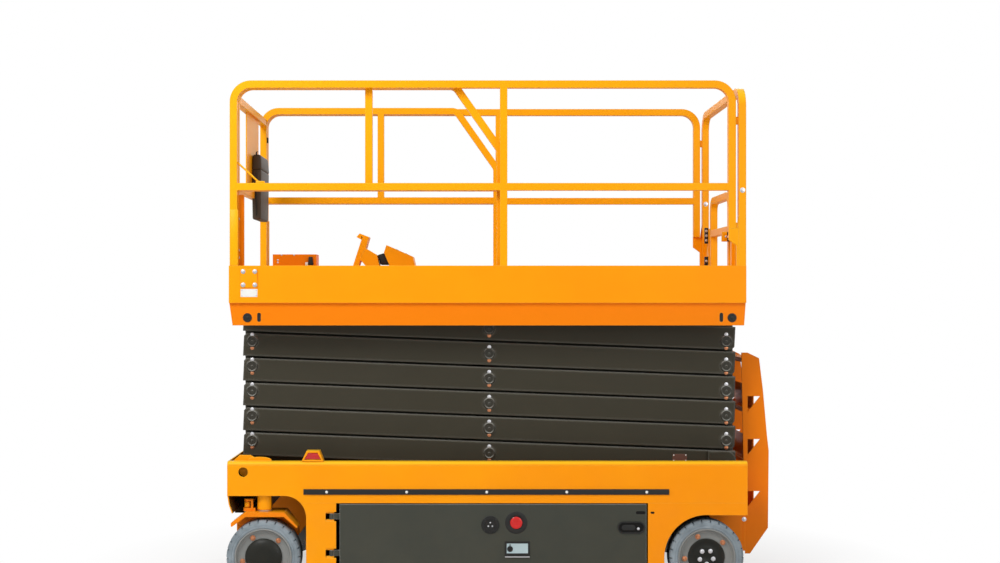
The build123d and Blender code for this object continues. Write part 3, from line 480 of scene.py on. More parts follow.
YELLOW = Paint("yellow_paint", srgb(253, 162, 2), srgb(247, 144, 1), edge=0.004)
CHASSIS = ChassisPaint("chassis_paint", srgb(253, 162, 2), srgb(247, 144, 1), edge=0.004)
FASCIA = FasciaPaint("fascia_paint", srgb(253, 160, 2), srgb(247, 144, 1), edge=0.004)
# Rail paint: a lighter copy of the yellow paint, a painted highlight for the rails and their fittings.
RAIL_YELLOW = Paint("rail_paint", srgb(250, 174, 8), srgb(244, 158, 3), rough=0.32, edge=0.005)
# Shaded paint: a deeper orange copy of the yellow paint, painted shade for parts that stand in shade such as
# the ladder, deck box, knuckles and post channel.
ORANGE = Paint("shaded_paint", srgb(244, 134, 2), srgb(234, 120, 1), edge=0.004, worn=srgb(250, 170, 50),
               faded=srgb(252, 164, 10))
CONTROL_PAINT = Paint("control_paint", srgb(248, 166, 6), srgb(240, 150, 4), edge=0.004)
ARM_GREY = Paint("arm_paint", srgb(60, 57, 47), srgb(54, 51, 41), rough=0.42, dust_top=1.4, edge=0.014,
                 worn=srgb(122, 120, 112), wear=0.55, dust_most=0.04, faded=srgb(120, 119, 112), fade=0.8)
DOOR_GREY = Paint("door_paint", srgb(67, 69, 62), srgb(61, 63, 56), rough=0.45, edge=0.005,
                  worn=srgb(158, 158, 154), wear=0.9, faded=srgb(168, 170, 168), dust_most=0.05)
RIM_GREY = Paint("rim_paint", srgb(140, 142, 140), srgb(128, 130, 128), "rim_paint", 0.4, dust_most=0.08,
                 worn=srgb(180, 182, 180), wear=0.5, faded=srgb(150, 152, 150), fade=0.3)
# Arch paint: a near-black brown that is painted shade, for the arch liners, rear axle, tie-down tubes and
# front cross member.
ARCH_SHADE = Paint("arch_paint", srgb(32, 20, 8), srgb(20, 13, 6), rough=0.7, shine=0.05, dust_most=0.12,
                   worn=srgb(84, 46, 12), wear=0.2, dust=srgb(72, 54, 34), faded=srgb(44, 28, 12), fade=0.3)


@dataclass(frozen=True)
class Rubber(Finish):
    """Non-marking rubber of the solid tyres, scuffed and dusty."""

    name: str = "tyre_rubber"
    colour: Colour = srgb(142, 153, 160)
    slot: str = "tyre"
    scuffed: Colour = srgb(114, 124, 130)

    def make(self) -> bpy.types.Material:
        """Build the material."""
        shader = Shader(self.name)
        patches, grain = shader.noise(14.0, 5.0), shader.noise(260.0, 3.0)
        tint = shader.blend(shader.ramp(patches, (0.36, 0.0), (0.7, 1.0)), self.colour, self.scuffed)
        return shader.surface(Base_Color=tint, Roughness=0.72 + patches * 0.15, Specular_IOR_Level=0.2,
                              Normal=shader.bump(grain, 0.0004, 0.4))


@dataclass(frozen=True)
class Metal(Finish):
    """Plated or machined steel."""

    slot: str = "bright_steel"
    rough: float = 0.3
    metallic: float = 0.9

    def make(self) -> bpy.types.Material:
        """Build the material."""
        shader = Shader(self.name)
        cloud = shader.noise(60.0, 4.0)
        tint = shader.blend(cloud * 0.35, self.colour, tuple(0.6 * part for part in self.colour))
        return shader.surface(Base_Color=tint, Roughness=self.rough + cloud * 0.12, Metallic=self.metallic,
                              Normal=shader.bump(shader.noise(900.0, 2.0), 0.00005, 0.3))


@dataclass(frozen=True)
class Plastic(Finish):
    """Moulded plastic with a fine grain."""

    slot: str = "black_plastic"
    rough: float = 0.45
    grain: float = 0.00015
    coat: float = 0.0

    def make(self) -> bpy.types.Material:
        """Build the material."""
        shader = Shader(self.name)
        cloud = shader.noise(22.0, 4.0)
        tint = shader.blend(cloud * 0.4, self.colour, tuple(0.78 * part for part in self.colour))
        return shader.surface(Base_Color=tint, Roughness=self.rough + cloud * 0.1, Coat_Weight=self.coat,
                              Specular_IOR_Level=0.25,
                              Normal=shader.bump(shader.noise(700.0, 2.0), self.grain, 0.4))


HUB_BLACK = Paint("hub_black", srgb(24, 25, 19), srgb(18, 19, 14), "black_plastic", 0.3, shine=0.25,
                  dust_most=0.02, worn=srgb(90, 90, 80), wear=0.4, faded=srgb(40, 41, 34), fade=0.3)
PIN_GREY = Paint("pin_grey", srgb(44, 42, 34), srgb(38, 36, 28), "arm_paint", 0.38, shine=0.3, dust_top=1.4,
                 worn=srgb(150, 148, 138), wear=0.3, faded=srgb(150, 149, 142), fade=0.9)
PLATE_BROWN = Paint("plate_brown", srgb(112, 76, 62), srgb(96, 66, 56), "black_plastic", 0.5,
                    worn=srgb(150, 112, 96), faded=srgb(130, 94, 80))
# Near-black painted shade for the latch recesses and for the slots, which are drawn as patches, not holes.
SLOT_SHADE = Plastic("gap_black", srgb(9, 8, 7), rough=0.8)
SCREEN = Plastic("screen", srgb(176, 196, 200), rough=0.15, coat=0.5, grain=0.00002)
ZINC = Metal("zinc_plate", srgb(205, 205, 208))
COPPER = Metal("passivated_bolt", srgb(190, 128, 92), rough=0.35)
BLACK_STEEL = Metal("blackened_steel", srgb(46, 46, 44), rough=0.4, metallic=0.4)
BLACK = Plastic("black_plastic", srgb(34, 34, 33))
RED = Plastic("red_plastic", srgb(206, 22, 18), "red_plastic", rough=0.28, coat=0.4)
LENS_RED = Plastic("lens_red", srgb(190, 14, 10), "red_plastic", rough=0.2, coat=0.8)
BOX_BROWN = Plastic("document_box", srgb(68, 58, 46), rough=0.5)
WHITE = Plastic("blank_plate", srgb(232, 232, 226), rough=0.5)
TYRE = Rubber()


@lru_cache(maxsize=None)
def material(finish: Finish) -> bpy.types.Material:
    """The material of a finish, made once when it is first asked for."""
    return finish.make()


def dress(target: bpy.types.Object, finish: Finish) -> None:
    """Give an object one finish all over."""
    target.data.materials.clear()
    target.data.materials.append(material(finish))


# ---------------------------------------------------------------- modelling
def unit(axis: Axis) -> Vector:
    """The unit vector of an axis."""
    return Vector([float(place == axis.value) for place in range(3)])


def looking(axis: Axis, sign: int = 1) -> Test:
    """A test for faces that look along an axis, or against it."""
    return lambda _, normal: normal[axis.value] * sign > FACE_ON


def facing(side: Side) -> Test:
    """A test for faces that look out from one side of the machine."""
    return looking(Axis.Y, side.value)


def outward(*profile: Pair) -> List[Pair]:
    """A profile for the left side, given with its distances counted outwards."""
    return [(radius, -along) for radius, along in profile]


def corners_of(wide: float, tall: float) -> Tuple[Point, Point, Point]:
    """Shifts from a plate's lowest front corner to its other three."""
    return (0, 0, tall), (wide, 0, 0), (wide, 0, tall)


class Form:
    """A mesh piece in the making, shaped with Blender's modelling tools."""

    TURNS = {Axis.X: (0.0, math.pi / 2, 0.0), Axis.Y: (math.pi / 2, 0.0, 0.0), Axis.Z: (0.0, 0.0, 0.0)}
    SEED = 0.001
    SAME = 0.00002

    def __init__(self, obj: bpy.types.Object) -> None:
        """Keep the object."""
        self.obj = obj

    @classmethod
    def _start(cls, name: str, add: Callable[..., object], **how: object) -> "Form":
        """Add a primitive and put its place into its mesh.

        Args:
            name: Name of the piece.
            add: Operator that adds the primitive.
            **how: The operator's settings.

        Returns:
            The form.
        """
        bpy.ops.object.select_all(action="DESELECT")
        add(**how)
        obj = bpy.context.object
        obj.name = obj.data.name = name
        bpy.ops.object.transform_apply(location=True, rotation=True, scale=True)
        return cls(obj)

    @classmethod
    def box(cls, name: str, low: Sequence[float], high: Sequence[float]) -> "Form":
        """A block between two corners.

        Args:
            name: Name of the piece.
            low: One corner.
            high: The opposite corner.

        Returns:
            The form.
        """
        middle = (Vector(low) + Vector(high)) / 2
        size = [abs(b - a) for a, b in zip(low, high)]
        return cls._start(name, bpy.ops.mesh.primitive_cube_add, size=1, location=middle, scale=size)

    @classmethod
    def disc(cls, name: str, centre: Sequence[float], radius: float, depth: float, axis: Axis = Axis.Y,
             sides: int = 48) -> "Form":
        """A round or many-sided disc.

        Args:
            name: Name of the piece.
            centre: Its middle.
            radius: Its radius.
            depth: Its length along the axis.
            axis: Direction of its axis.
            sides: How many sides it has.

        Returns:
            The form.
        """
        return cls._start(name, bpy.ops.mesh.primitive_cylinder_add, vertices=sides, radius=radius,
                          depth=depth, location=centre, rotation=cls.TURNS[axis])

    @classmethod
    def _outline(cls, name: str, corners: Sequence[Vector]) -> "Form":
        """A closed line of edges, drawn by extruding one point from corner to corner.

        Args:
            name: Name of the piece.
            corners: The corners, in order.

        Returns:
            The form.
        """
        form = cls._start(name, bpy.ops.mesh.primitive_plane_add, size=cls.SEED, location=corners[0])
        with form.editing("VERT"):
            bpy.ops.mesh.select_all(action="SELECT")
            bpy.ops.mesh.merge(type="CENTER")
            for here, there in zip(corners, corners[1:] + corners[:1]):
                bpy.ops.mesh.extrude_vertices_move(TRANSFORM_OT_translate={"value": there - here})
        return form

    @classmethod
    def slab(cls, name: str, corners: Sequence[Pair], origin: Pair, low: float, high: float) -> "Form":
        """A flat outline in X and Z, filled and extruded along Y.

        Args:
            name: Name of the piece.
            corners: X and Z of each corner, in order.
            origin: X and Z that they are measured from.
            low: Y of one face.
            high: Y of the other face.

        Returns:
            The form.
        """
        form = cls._outline(name, [Vector((origin[0] + x, low, origin[1] + z)) for x, z in corners])
        with form.editing("VERT"):
            bpy.ops.mesh.select_all(action="SELECT")
            bpy.ops.mesh.remove_doubles(threshold=cls.SAME)
            bpy.ops.mesh.select_all(action="SELECT")
            bpy.ops.mesh.edge_face_add()
            bpy.ops.mesh.extrude_region_move(TRANSFORM_OT_translate={"value": (0, high - low, 0)})
        form.close_up()
        return form

    @classmethod
    def turned(cls, name: str, profile: Sequence[Pair], centre: Sequence[float],
               axis: Axis = Axis.Y, steps: int = 72) -> "Form":
        """A closed profile spun once round an axis.

        Args:
            name: Name of the piece.
            profile: Radius and distance along the axis of each corner, in order.
            centre: Point on the axis that the distances start from.
            axis: Direction of the axis.
            steps: How many steps the spin takes.

        Returns:
            The form.
        """
        out = unit(Axis.Z if axis is Axis.X else Axis.X)
        corners = [Vector(centre) + out * radius + unit(axis) * along for radius, along in profile]
        form = cls._outline(name, corners)
        with form.editing("VERT"):
            bpy.ops.mesh.select_all(action="SELECT")
            bpy.ops.mesh.spin(steps=steps, angle=2 * math.pi, center=centre, axis=unit(axis))
        form.close_up()
        return form

    def close_up(self) -> None:
        """Merge doubled points and turn every face outwards."""
        with self.editing("VERT"):
            bpy.ops.mesh.select_all(action="SELECT")
            bpy.ops.mesh.remove_doubles(threshold=self.SAME)
            bpy.ops.mesh.dissolve_degenerate(threshold=0.00001)
            bpy.ops.mesh.select_all(action="SELECT")
            bpy.ops.mesh.normals_make_consistent(inside=False)

    @contextmanager
    def editing(self, mode: str = "FACE") -> Iterator[None]:
        """Edit mode on this piece alone.

        Args:
            mode: What is selected: VERT, EDGE or FACE.

        Yields:
            Nothing.
        """
        bpy.ops.object.select_all(action="DESELECT")
        self.obj.select_set(True)
        bpy.context.view_layer.objects.active = self.obj
        bpy.ops.object.mode_set(mode="EDIT")
        bpy.ops.mesh.select_mode(type=mode)
        yield
        bpy.ops.object.mode_set(mode="OBJECT")

    def worked(self, test: Test, tool: Callable[..., object], **how: object) -> "Form":
        """Run one mesh tool on the faces that pass a test.

        Args:
            test: Takes a face's middle and normal.
            tool: The operator.
            **how: Its settings.

        Returns:
            This form.
        """
        with self.editing():
            mesh = bmesh.from_edit_mesh(self.obj.data)
            for face in mesh.faces:
                face.select_set(test(face.calc_center_median(), face.normal))
            bmesh.update_edit_mesh(self.obj.data)
            tool(**how)
        return self

    def inset(self, test: Test, width: float, depth: float = 0.0) -> "Form":
        """Inset the chosen faces by a rim's width, and raise or sink them by a depth."""
        return self.worked(test, bpy.ops.mesh.inset, thickness=width, depth=depth)

    def extrude(self, test: Test, shift: Sequence[float]) -> "Form":
        """Extrude the chosen faces along a vector."""
        return self.worked(test, bpy.ops.mesh.extrude_region_move,
                           TRANSFORM_OT_translate={"value": Vector(shift)})

    def moved(self, test: Test, shift: Sequence[float]) -> "Form":
        """Move the chosen faces and stretch what joins them."""
        return self.worked(test, bpy.ops.transform.translate, value=Vector(shift))

    def resize(self, test: Test, share: Sequence[float], centre: Sequence[float]) -> "Form":
        """Scale the chosen faces about a point, by a share along each axis."""
        return self.worked(test, bpy.ops.transform.resize, value=share, center_override=centre)

    @classmethod
    def bolt(cls, name: str, centre: Sequence[float], radius: float, height: float, side: Side = Side.LEFT,
             sides: int = 6) -> "Form":
        """A bolt head on its washer, facing out from one side of the machine.

        Args:
            name: Name of the bolt.
            centre: Middle of the face that it stands on.
            radius: Radius of the head over its corners.
            height: How far it stands proud.
            side: Side that it faces.
            sides: 6 for a hexagon, or more for a round head.

        Returns:
            The form.
        """
        place, out = Vector(centre), unit(Axis.Y) * side.value
        washer = cls.disc(name, place + out * height * 0.15, radius * 1.35, height * 0.3, sides=24)
        washer.inset(facing(side), radius * 0.15, height * 0.05)
        head = cls.disc(name, place + out * height * 0.6, radius, height * 0.8, sides=sides)
        head.inset(facing(side), radius * 0.14, height * 0.1)
        return washer.joined([head])

    @classmethod
    def oblong(cls, name: str, centre: Sequence[float], length: float, height: float, depth: float) -> "Form":
        """A plate with round ends, lying along X and facing along Y.

        Args:
            name: Name of the plate.
            centre: Its middle.
            length: Length over the round ends.
            height: Its height.
            depth: Its thickness.

        Returns:
            The form.
        """
        reach = length - height
        left = Vector(centre) - Vector((reach / 2, 0, 0))
        form = cls.disc(name, left, height / 2, depth)
        return form.moved(lambda _, normal: normal.x > 0.02, (reach, 0, 0))

    def rounded(self, width: float, segments: int = 2, angle: float = 35.0) -> "Form":
        """Round the sharp edges.

        Args:
            width: Width of the rounding.
            segments: Facets across it.
            angle: Edges sharper than this many degrees are rounded.

        Returns:
            This form.
        """
        bevel = self.obj.modifiers.new("edge", "BEVEL")
        bevel.width, bevel.segments = width, segments
        bevel.limit_method, bevel.angle_limit = "ANGLE", math.radians(angle)
        bpy.context.view_layer.objects.active = self.obj
        bpy.ops.object.modifier_apply(modifier=bevel.name)
        return self

    def copied(self, name: str, shift: Sequence[float] = (0, 0, 0), turn: float = 0.0, axis: Axis = Axis.Y,
               about: Sequence[float] = (0, 0, 0), mirrored: bool = False) -> "Form":
        """A copy with its own mesh, turned, mirrored across the middle and then shifted.

        Args:
            name: Name of the copy.
            shift: How far it goes.
            turn: Degrees round the axis.
            axis: Axis of the turn.
            about: Point on that axis.
            mirrored: Whether it goes to the other side of the machine.

        Returns:
            The copy.
        """
        twin = self.obj.copy()
        twin.data = self.obj.data.copy()
        twin.name = twin.data.name = name
        bpy.context.collection.objects.link(twin)
        to, back = Matrix.Translation(Vector(about)), Matrix.Translation(-Vector(about))
        twin.data.transform(Matrix.Translation(Vector(shift)) @ to
                            @ Matrix.Rotation(math.radians(turn), 4, unit(axis)) @ back)
        if mirrored:
            twin.data.transform(Matrix.Scale(-1, 4, unit(Axis.Y)))
            twin.data.flip_normals()
        return Form(twin)

    def joined(self, others: Iterable["Form"]) -> "Form":
        """Take other forms into this piece.

        Args:
            others: The forms, which are used up.

        Returns:
            This form.
        """
        bpy.ops.object.select_all(action="DESELECT")
        for other in others:
            other.obj.select_set(True)
        self.obj.select_set(True)
        bpy.context.view_layer.objects.active = self.obj
        bpy.ops.object.join()
        return self

    def ring_of(self, count: int, centre: Sequence[float], start: float = 0.0, axis: Axis = Axis.Y) -> "Form":
        """This piece repeated evenly round an axis, as one mesh.

        Args:
            count: How many there are.
            centre: Point on the axis.
            start: Degrees that the first is turned by.
            axis: Direction of the axis.

        Returns:
            This form.
        """
        self.obj.data.transform(Matrix.Translation(Vector(centre))
                                @ Matrix.Rotation(math.radians(start), 4, unit(axis))
                                @ Matrix.Translation(-Vector(centre)))
        return self.joined([self.copied(f"{self.obj.name}_{step}", turn=360 / count * step, axis=axis,
                                        about=centre) for step in range(1, count)])

    def spread(self, shifts: Iterable[Sequence[float]]) -> "Form":
        """This piece repeated at other places, as one mesh.

        Args:
            shifts: How far each copy goes.

        Returns:
            This form.
        """
        return self.joined([self.copied(self.obj.name, shift) for shift in shifts])

    def both_sides(self) -> "Form":
        """This left piece and its mirror image on the right, as one mesh."""
        return self.joined([self.copied(self.obj.name, mirrored=True)])

    def done(self, finish: Finish, body: str, slot: str = "", angle: float = 35.0) -> "Form":
        """Shade, paint and mount the finished piece.

        Args:
            finish: Finish of the piece.
            body: Body that it rides on.
            slot: The record's material slot, if it isn't the finish's own; not used.
            angle: Edges flatter than this many degrees are shaded smooth.

        Returns:
            This form.
        """
        bpy.ops.object.select_all(action="DESELECT")
        self.obj.select_set(True)
        bpy.context.view_layer.objects.active = self.obj
        bpy.ops.object.shade_smooth_by_angle(angle=math.radians(angle))
        dress(self.obj, finish)
        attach(self.obj, body)
        LOG.info("%s: %d faces on %s", self.obj.name, len(self.obj.data.polygons), body)
        return self

    def paired(self, finish: Finish, body: str, slot: str = "") -> None:
        """Finish this left piece and a mirrored copy of it on the right.

        Args:
            finish: Finish of both.
            body: Body that they ride on, with {} in place of its side.
            slot: The record's material slot, if it isn't the finish's own.
        """
        name = self.obj.name
        twin = self.copied(f"{name}_{Side.RIGHT.tag}", mirrored=True)
        self.obj.name = self.obj.data.name = f"{name}_{Side.LEFT.tag}"
        for form, side in ((self, Side.LEFT), (twin, Side.RIGHT)):
            form.done(finish, body.format(side.tag), slot)


# ---------------------------------------------------------------- sub-assemblies
@dataclass
class Assembly:
    """A sub-assembly that is dressed by itself, with the frame's record at hand."""

    record: Dict[str, object]

    def build(self) -> None:
        """Build and mount its pieces."""
        raise NotImplementedError

    def joint(self, name: str) -> Vector:
        """Place of a joint of the record."""
        rows = self.record["behaviour"]["joints"]
        return Vector(next(row["pos_m"] for row in rows if row["name"] == name))


@dataclass
class RoadWheel(Assembly):
    """One wheel: solid tyre with shoulder notches, pressed rim, hub and bolts."""

    place: str
    side: Side
    steered: bool
    notches: int = 26
    steps_per_notch: int = 6
    notch_depth: float = 0.007
    notch_reach: float = 0.036
    rim_radius: float = 0.148
    rim_sunk: float = 0.026
    hub_radius: float = 0.0945
    bolt_circle: float = 0.112
    bolt_radius: float = 0.010

    def build(self) -> None:
        """Build and mount the wheel."""
        low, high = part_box("tyre_" + self.place)
        self.middle = (low + high) / 2
        self.half, self.radius = (high.y - low.y) / 2, (high.z - low.z) / 2
        self.face = self.half - self.rim_sunk
        self.body = "wheel_" + self.place
        self._tyre()
        self._rim()
        self._hub()
        self._bolts()

    def _out(self, along: float) -> float:
        """Signed distance from the wheel's middle plane towards the outside."""
        return along * self.side.value

    def _turned(self, name: str, profile: Sequence[Pair], steps: int = 72) -> Form:
        """A profile of radius and outward distance, spun round this wheel's axle."""
        return Form.turned(f"{name}_{self.place}", [(radius, self._out(along)) for radius, along in profile],
                           self.middle, steps=steps)

    def _tyre(self) -> None:
        """Solid tyre: rounded shoulders, notched tread and a moulded line on its side."""
        half, r, bore = self.half, self.radius, self.rim_radius
        profile = ((bore, -half + 0.004), (bore + 0.006, -half), (r - 0.014, -half),
                   (r - 0.004, -half + 0.005), (r, -half + 0.016), (r, half - self.notch_reach),
                   (r, half - 0.018), (r - 0.004, half - 0.007), (r - 0.013, half), (r - 0.026, half),
                   (r - 0.0275, half - 0.0015), (r - 0.029, half),
                   (bore + 0.006, half), (bore, half - 0.004))
        form = self._turned("tyre_tread", profile, self.notches * self.steps_per_notch)
        pitch = 360 / self.notches

        def notch(centre: Vector, _: Vector) -> bool:
            """Whether a face lies in one of the notches on the outer shoulder."""
            arm = centre - self.middle
            turn = math.degrees(math.atan2(arm.z, arm.x)) % pitch
            return (turn < pitch / self.steps_per_notch and math.hypot(arm.x, arm.z) > r - 0.010
                    and self._out(arm.y) > half - self.notch_reach)

        form.inset(notch, 0.0, -self.notch_depth)
        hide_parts("tyre_" + self.place)
        form.done(TYRE, self.body, angle=28)

    def _rim(self) -> None:
        """Pressed rim, with a rolled edge, a conical wall and a flat face."""
        half, r, face = self.half, self.rim_radius - 0.0005, self.face
        profile = ((0.05, -half + 0.024), (r - 0.010, -half + 0.024), (r - 0.006, -half + 0.008),
                   (r, -half + 0.008), (r, half - 0.004), (r - 0.002, half - 0.001),
                   (r - 0.006, half - 0.001), (r - 0.009, half - 0.005), (r - 0.014, face + 0.004),
                   (r - 0.019, face), (0.06, face), (0.05, face - 0.006))
        form = self._turned("rim", profile, 96)
        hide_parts("wheel_" + self.place)
        form.done(RIM_GREY, self.body, angle=30)

    def _hub(self) -> None:
        """Black domed motor cover on a steered wheel, or a flat nave on a rear one."""
        face, r = self.face, self.hub_radius
        if self.steered:
            cover = ((r, 0.010), (r - 0.003, 0.014), (r - 0.010, 0.016), (r - 0.016, 0.0205), (0.052, 0.0245),
                     (0.047, 0.0250), (0.026, 0.0252), (0.0, 0.0255))
        else:
            cover = ((r, 0.004), (r - 0.002, 0.006), (r - 0.014, 0.0065), (r - 0.018, 0.0045),
                     (0.056, 0.0045), (0.052, 0.006), (0.022, 0.006), (0.019, 0.0045), (0.0, 0.0045))
        profile = [(0.0, -0.02), (0.06, -0.02), (r, face - 0.004)]
        profile += [(radius, face + along) for radius, along in cover]
        self._turned("hub", profile).done(HUB_BLACK, self.body, angle=30)

    def _bolts(self) -> None:
        """Five copper-toned wheel bolts, and the hub's bright nuts or its cover's screws."""
        face = self.face
        rows = [("wheel_bolts", 5, self.bolt_circle, self.bolt_radius, 0.011, 48.0 if self.steered else 41.0,
                 COPPER, face)]
        if self.steered:
            rows.append(("cover_screws", 4, 0.078, 0.0042, 0.003, 20.0, BLACK_STEEL, face + 0.0175))
        else:
            rows.append(("hub_nuts", 5, 0.036, 0.0085, 0.010, 56.0, ZINC, face + 0.006))
        for name, count, circle, radius, height, start, finish, along in rows:
            place = self.middle + Vector((circle, self._out(along), 0))
            bolt = Form.bolt(f"{name}_{self.place}", place, radius, height, self.side)
            bolt.ring_of(count, self.middle, -start).done(finish, self.body)


@dataclass
class PinSet(Assembly):
    """Keeper bolts over and under every pin head of the arm stack, and the pins' turned ends."""

    levels: int = 6
    bolt_radius: float = 0.0075
    bolt_height: float = 0.006
    bolt_reach: float = 0.0355
    head: float = 0.006

    def build(self) -> None:
        """Build and mount the bolts of each level."""
        for level in range(1, self.levels + 1):
            self._level(level)

    def _pins(self, level: int) -> List[Vector]:
        """Places of the pins that a level's outer arms show, of which the lowest shows two."""
        rear = self.joint("lift" if level == 1 else "platform_pin")
        middle = self.joint(f"centre_pin_{level}")
        rise = 2 * (self.joint("centre_pin_1").z - self.joint("lift").z)
        low = self.joint("lift").z + (level - 1) * rise
        places = [Vector((rear.x, 0, low)), middle, Vector((2 * middle.x - rear.x, 0, low + rise))]
        return places[1:] if level == 1 else places

    def _level(self, level: int) -> None:
        """Bolts and pin ends of one level, on both sides, as one piece for each finish."""
        _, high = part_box(f"outer_arms_{min(max(level, 2), self.levels - 1)}")
        first, *others = self._pins(level)
        place = Vector((first.x, self.head - high.y, first.z))
        steps = [(pin.x - first.x, 0, pin.z - first.z) for pin in others]
        body = f"outer_{level}"
        for name, rise, finish in (("upper", self.bolt_reach, ZINC), ("lower", -self.bolt_reach, COPPER)):
            bolt = Form.bolt(f"pin_bolts_{name}_{level}", place + unit(Axis.Z) * rise, self.bolt_radius,
                             self.bolt_height)
            bolt.spread(steps).both_sides().done(finish, body)
        profile = outward((0.0, 0.0005), (0.0305, 0.0005), (0.0305, 0.0060), (0.0275, 0.0098),
                          (0.0245, 0.0098), (0.0215, 0.0064), (0.0060, 0.0064), (0.0050, 0.0080),
                          (0.0, 0.0080))
        cap = Form.turned(f"pin_caps_{level}", profile, place, steps=32)
        cap.spread(steps).both_sides().done(PIN_GREY, body)


@dataclass
class ChassisTrim(Assembly):
    """Lamp lenses, rubbing strips, tie-down tubes, cross member, plate and steering bushes."""

    lens_sunk: float = 0.016
    rivets: int = 5
    rivet_pitch: float = 0.4103
    rivet_start: float = 0.119
    rivet_radius: float = 0.0072
    strip_sunk: float = 0.0042
    tube_end: float = 0.030
    plate_size: Pair = (0.076, 0.040)
    plate_from_pin: Pair = (-0.284, 0.021)
    bush_z: float = 0.4215

    def build(self) -> None:
        """Build and mount the trim."""
        self._lens()
        self._tie_down()
        self._strips()
        self._cross_member()
        self._plate()
        self._steering()

    def _lens(self) -> None:
        """Red lens in each lamp's housing, narrower at the top."""
        low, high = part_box("marker_lamps")
        first = Vector((low.x + 0.013, self.lens_sunk - high.y, low.z + 0.0105))
        last = Vector((high.x - 0.013, self.lens_sunk * 0.25 - high.y, high.z - 0.010))
        form = Form.box("lamp_lens", first, last)
        form.resize(looking(Axis.Z), (0.66, 1, 1), (first + last) / 2)
        form.inset(facing(Side.LEFT), 0.004, 0.0015)
        form.rounded(0.003, 3).paired(LENS_RED, "chassis")

    def _tie_down(self) -> None:
        """Dark tube inside each tie-down hole, its near-black brown painted shade."""
        mount = next(row for row in self.record["mounts"] if row["name"].endswith(Side.LEFT.tag))
        inner, half = mount["dims"]["r_mm"] / 1000 + 0.0002, mount["dims"]["length_mm"] / 2000
        outer = inner + 0.0038
        profile = outward((inner, -half), (inner, -self.tube_end), (outer, -self.tube_end), (outer, -half))
        Form.turned("tie_down_tube", profile, mount["pos_m"], steps=36).paired(ARCH_SHADE, "chassis")

    def _strips(self) -> None:
        """Rubbing strip along each side, with pale rivets."""
        low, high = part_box("mouldings")
        face, r = high.y - self.strip_sunk, self.rivet_radius
        start = (low.x + self.rivet_start, -face - 0.0006, (low.z + high.z) / 2)
        profile = outward((0.0, 0.0), (r, 0.0), (r * 0.95, 0.0012), (r * 0.65, 0.0022), (0.0, 0.0026))
        rivets = Form.turned("strip_rivets", profile, start, steps=24)
        rivets.spread((step * self.rivet_pitch, 0, 0) for step in range(1, self.rivets))
        rivets.paired(WHITE, "chassis", "bright_steel")
        strip = Form.box("rubbing_strips", (low.x, 0.010 - high.y, low.z), (high.x, -face, high.z))
        strip.inset(facing(Side.LEFT), 0.004, 0.0008).rounded(0.001).both_sides()
        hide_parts("mouldings")
        strip.done(BLACK, "chassis")

    def _cross_member(self) -> None:
        """Cross member with its shelf behind the front skirt and a web beside each ladder rail, dark with
        painted shade.
        """
        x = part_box("front_axle")[0].x
        beam = Form.box("front_cross_member", (x + 0.004, -0.40, 0.386), (x + 0.050, 0.40, 0.4995))
        beam.inset(looking(Axis.X), 0.008, -0.003)
        shelf = Form.box("shelf", (x + 0.050, -0.33, 0.398), (x + 0.122, 0.33, 0.430))
        shelf.inset(looking(Axis.Z), 0.006, -0.002)
        beam.joined([shelf]).done(ARCH_SHADE, "chassis")
        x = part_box("ladder")[0].x
        web = Form.box("tail_web", (x - 0.140, -0.296, 0.205), (x + 0.030, -0.300, 0.5535))
        web.inset(facing(Side.LEFT), 0.010, 0.001).paired(ORANGE, "chassis")

    def _plate(self) -> None:
        """Small blank brown plate with pale rivets on the lowest arm, near the rear."""
        face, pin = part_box("outer_arms_2")[0].y + 0.006, self.joint("lift")
        x, z = pin.x + self.plate_from_pin[0], pin.z + self.plate_from_pin[1]
        wide, tall = self.plate_size
        form = Form.box("blank_plate_rear", (x, face + 0.0005, z), (x + wide, face - 0.0015, z + tall))
        form.inset(facing(Side.LEFT), 0.002, 0.0004).done(PLATE_BROWN, "outer_1")
        first = (x + 0.006, face - 0.0018, z + 0.006)
        rivet = Form.bolt("rear_plate_rivets", first, 0.0026, 0.0014, sides=16)
        rivet.spread(corners_of(wide - 0.012, tall - 0.012)).done(WHITE, "outer_1", "bright_steel")

    def _steering(self) -> None:
        """Bush under each kingpin housing."""
        pin = self.joint("steer")
        profile = ((0.026, 0.0), (0.036, 0.0), (0.037, 0.002), (0.037, 0.007), (0.034, 0.009), (0.026, 0.009))
        ring = Form.turned("kingpin_bush", profile, (pin.x, pin.y, self.bush_z), axis=Axis.Z, steps=40)
        ring.paired(ZINC, "knuckle_{}")


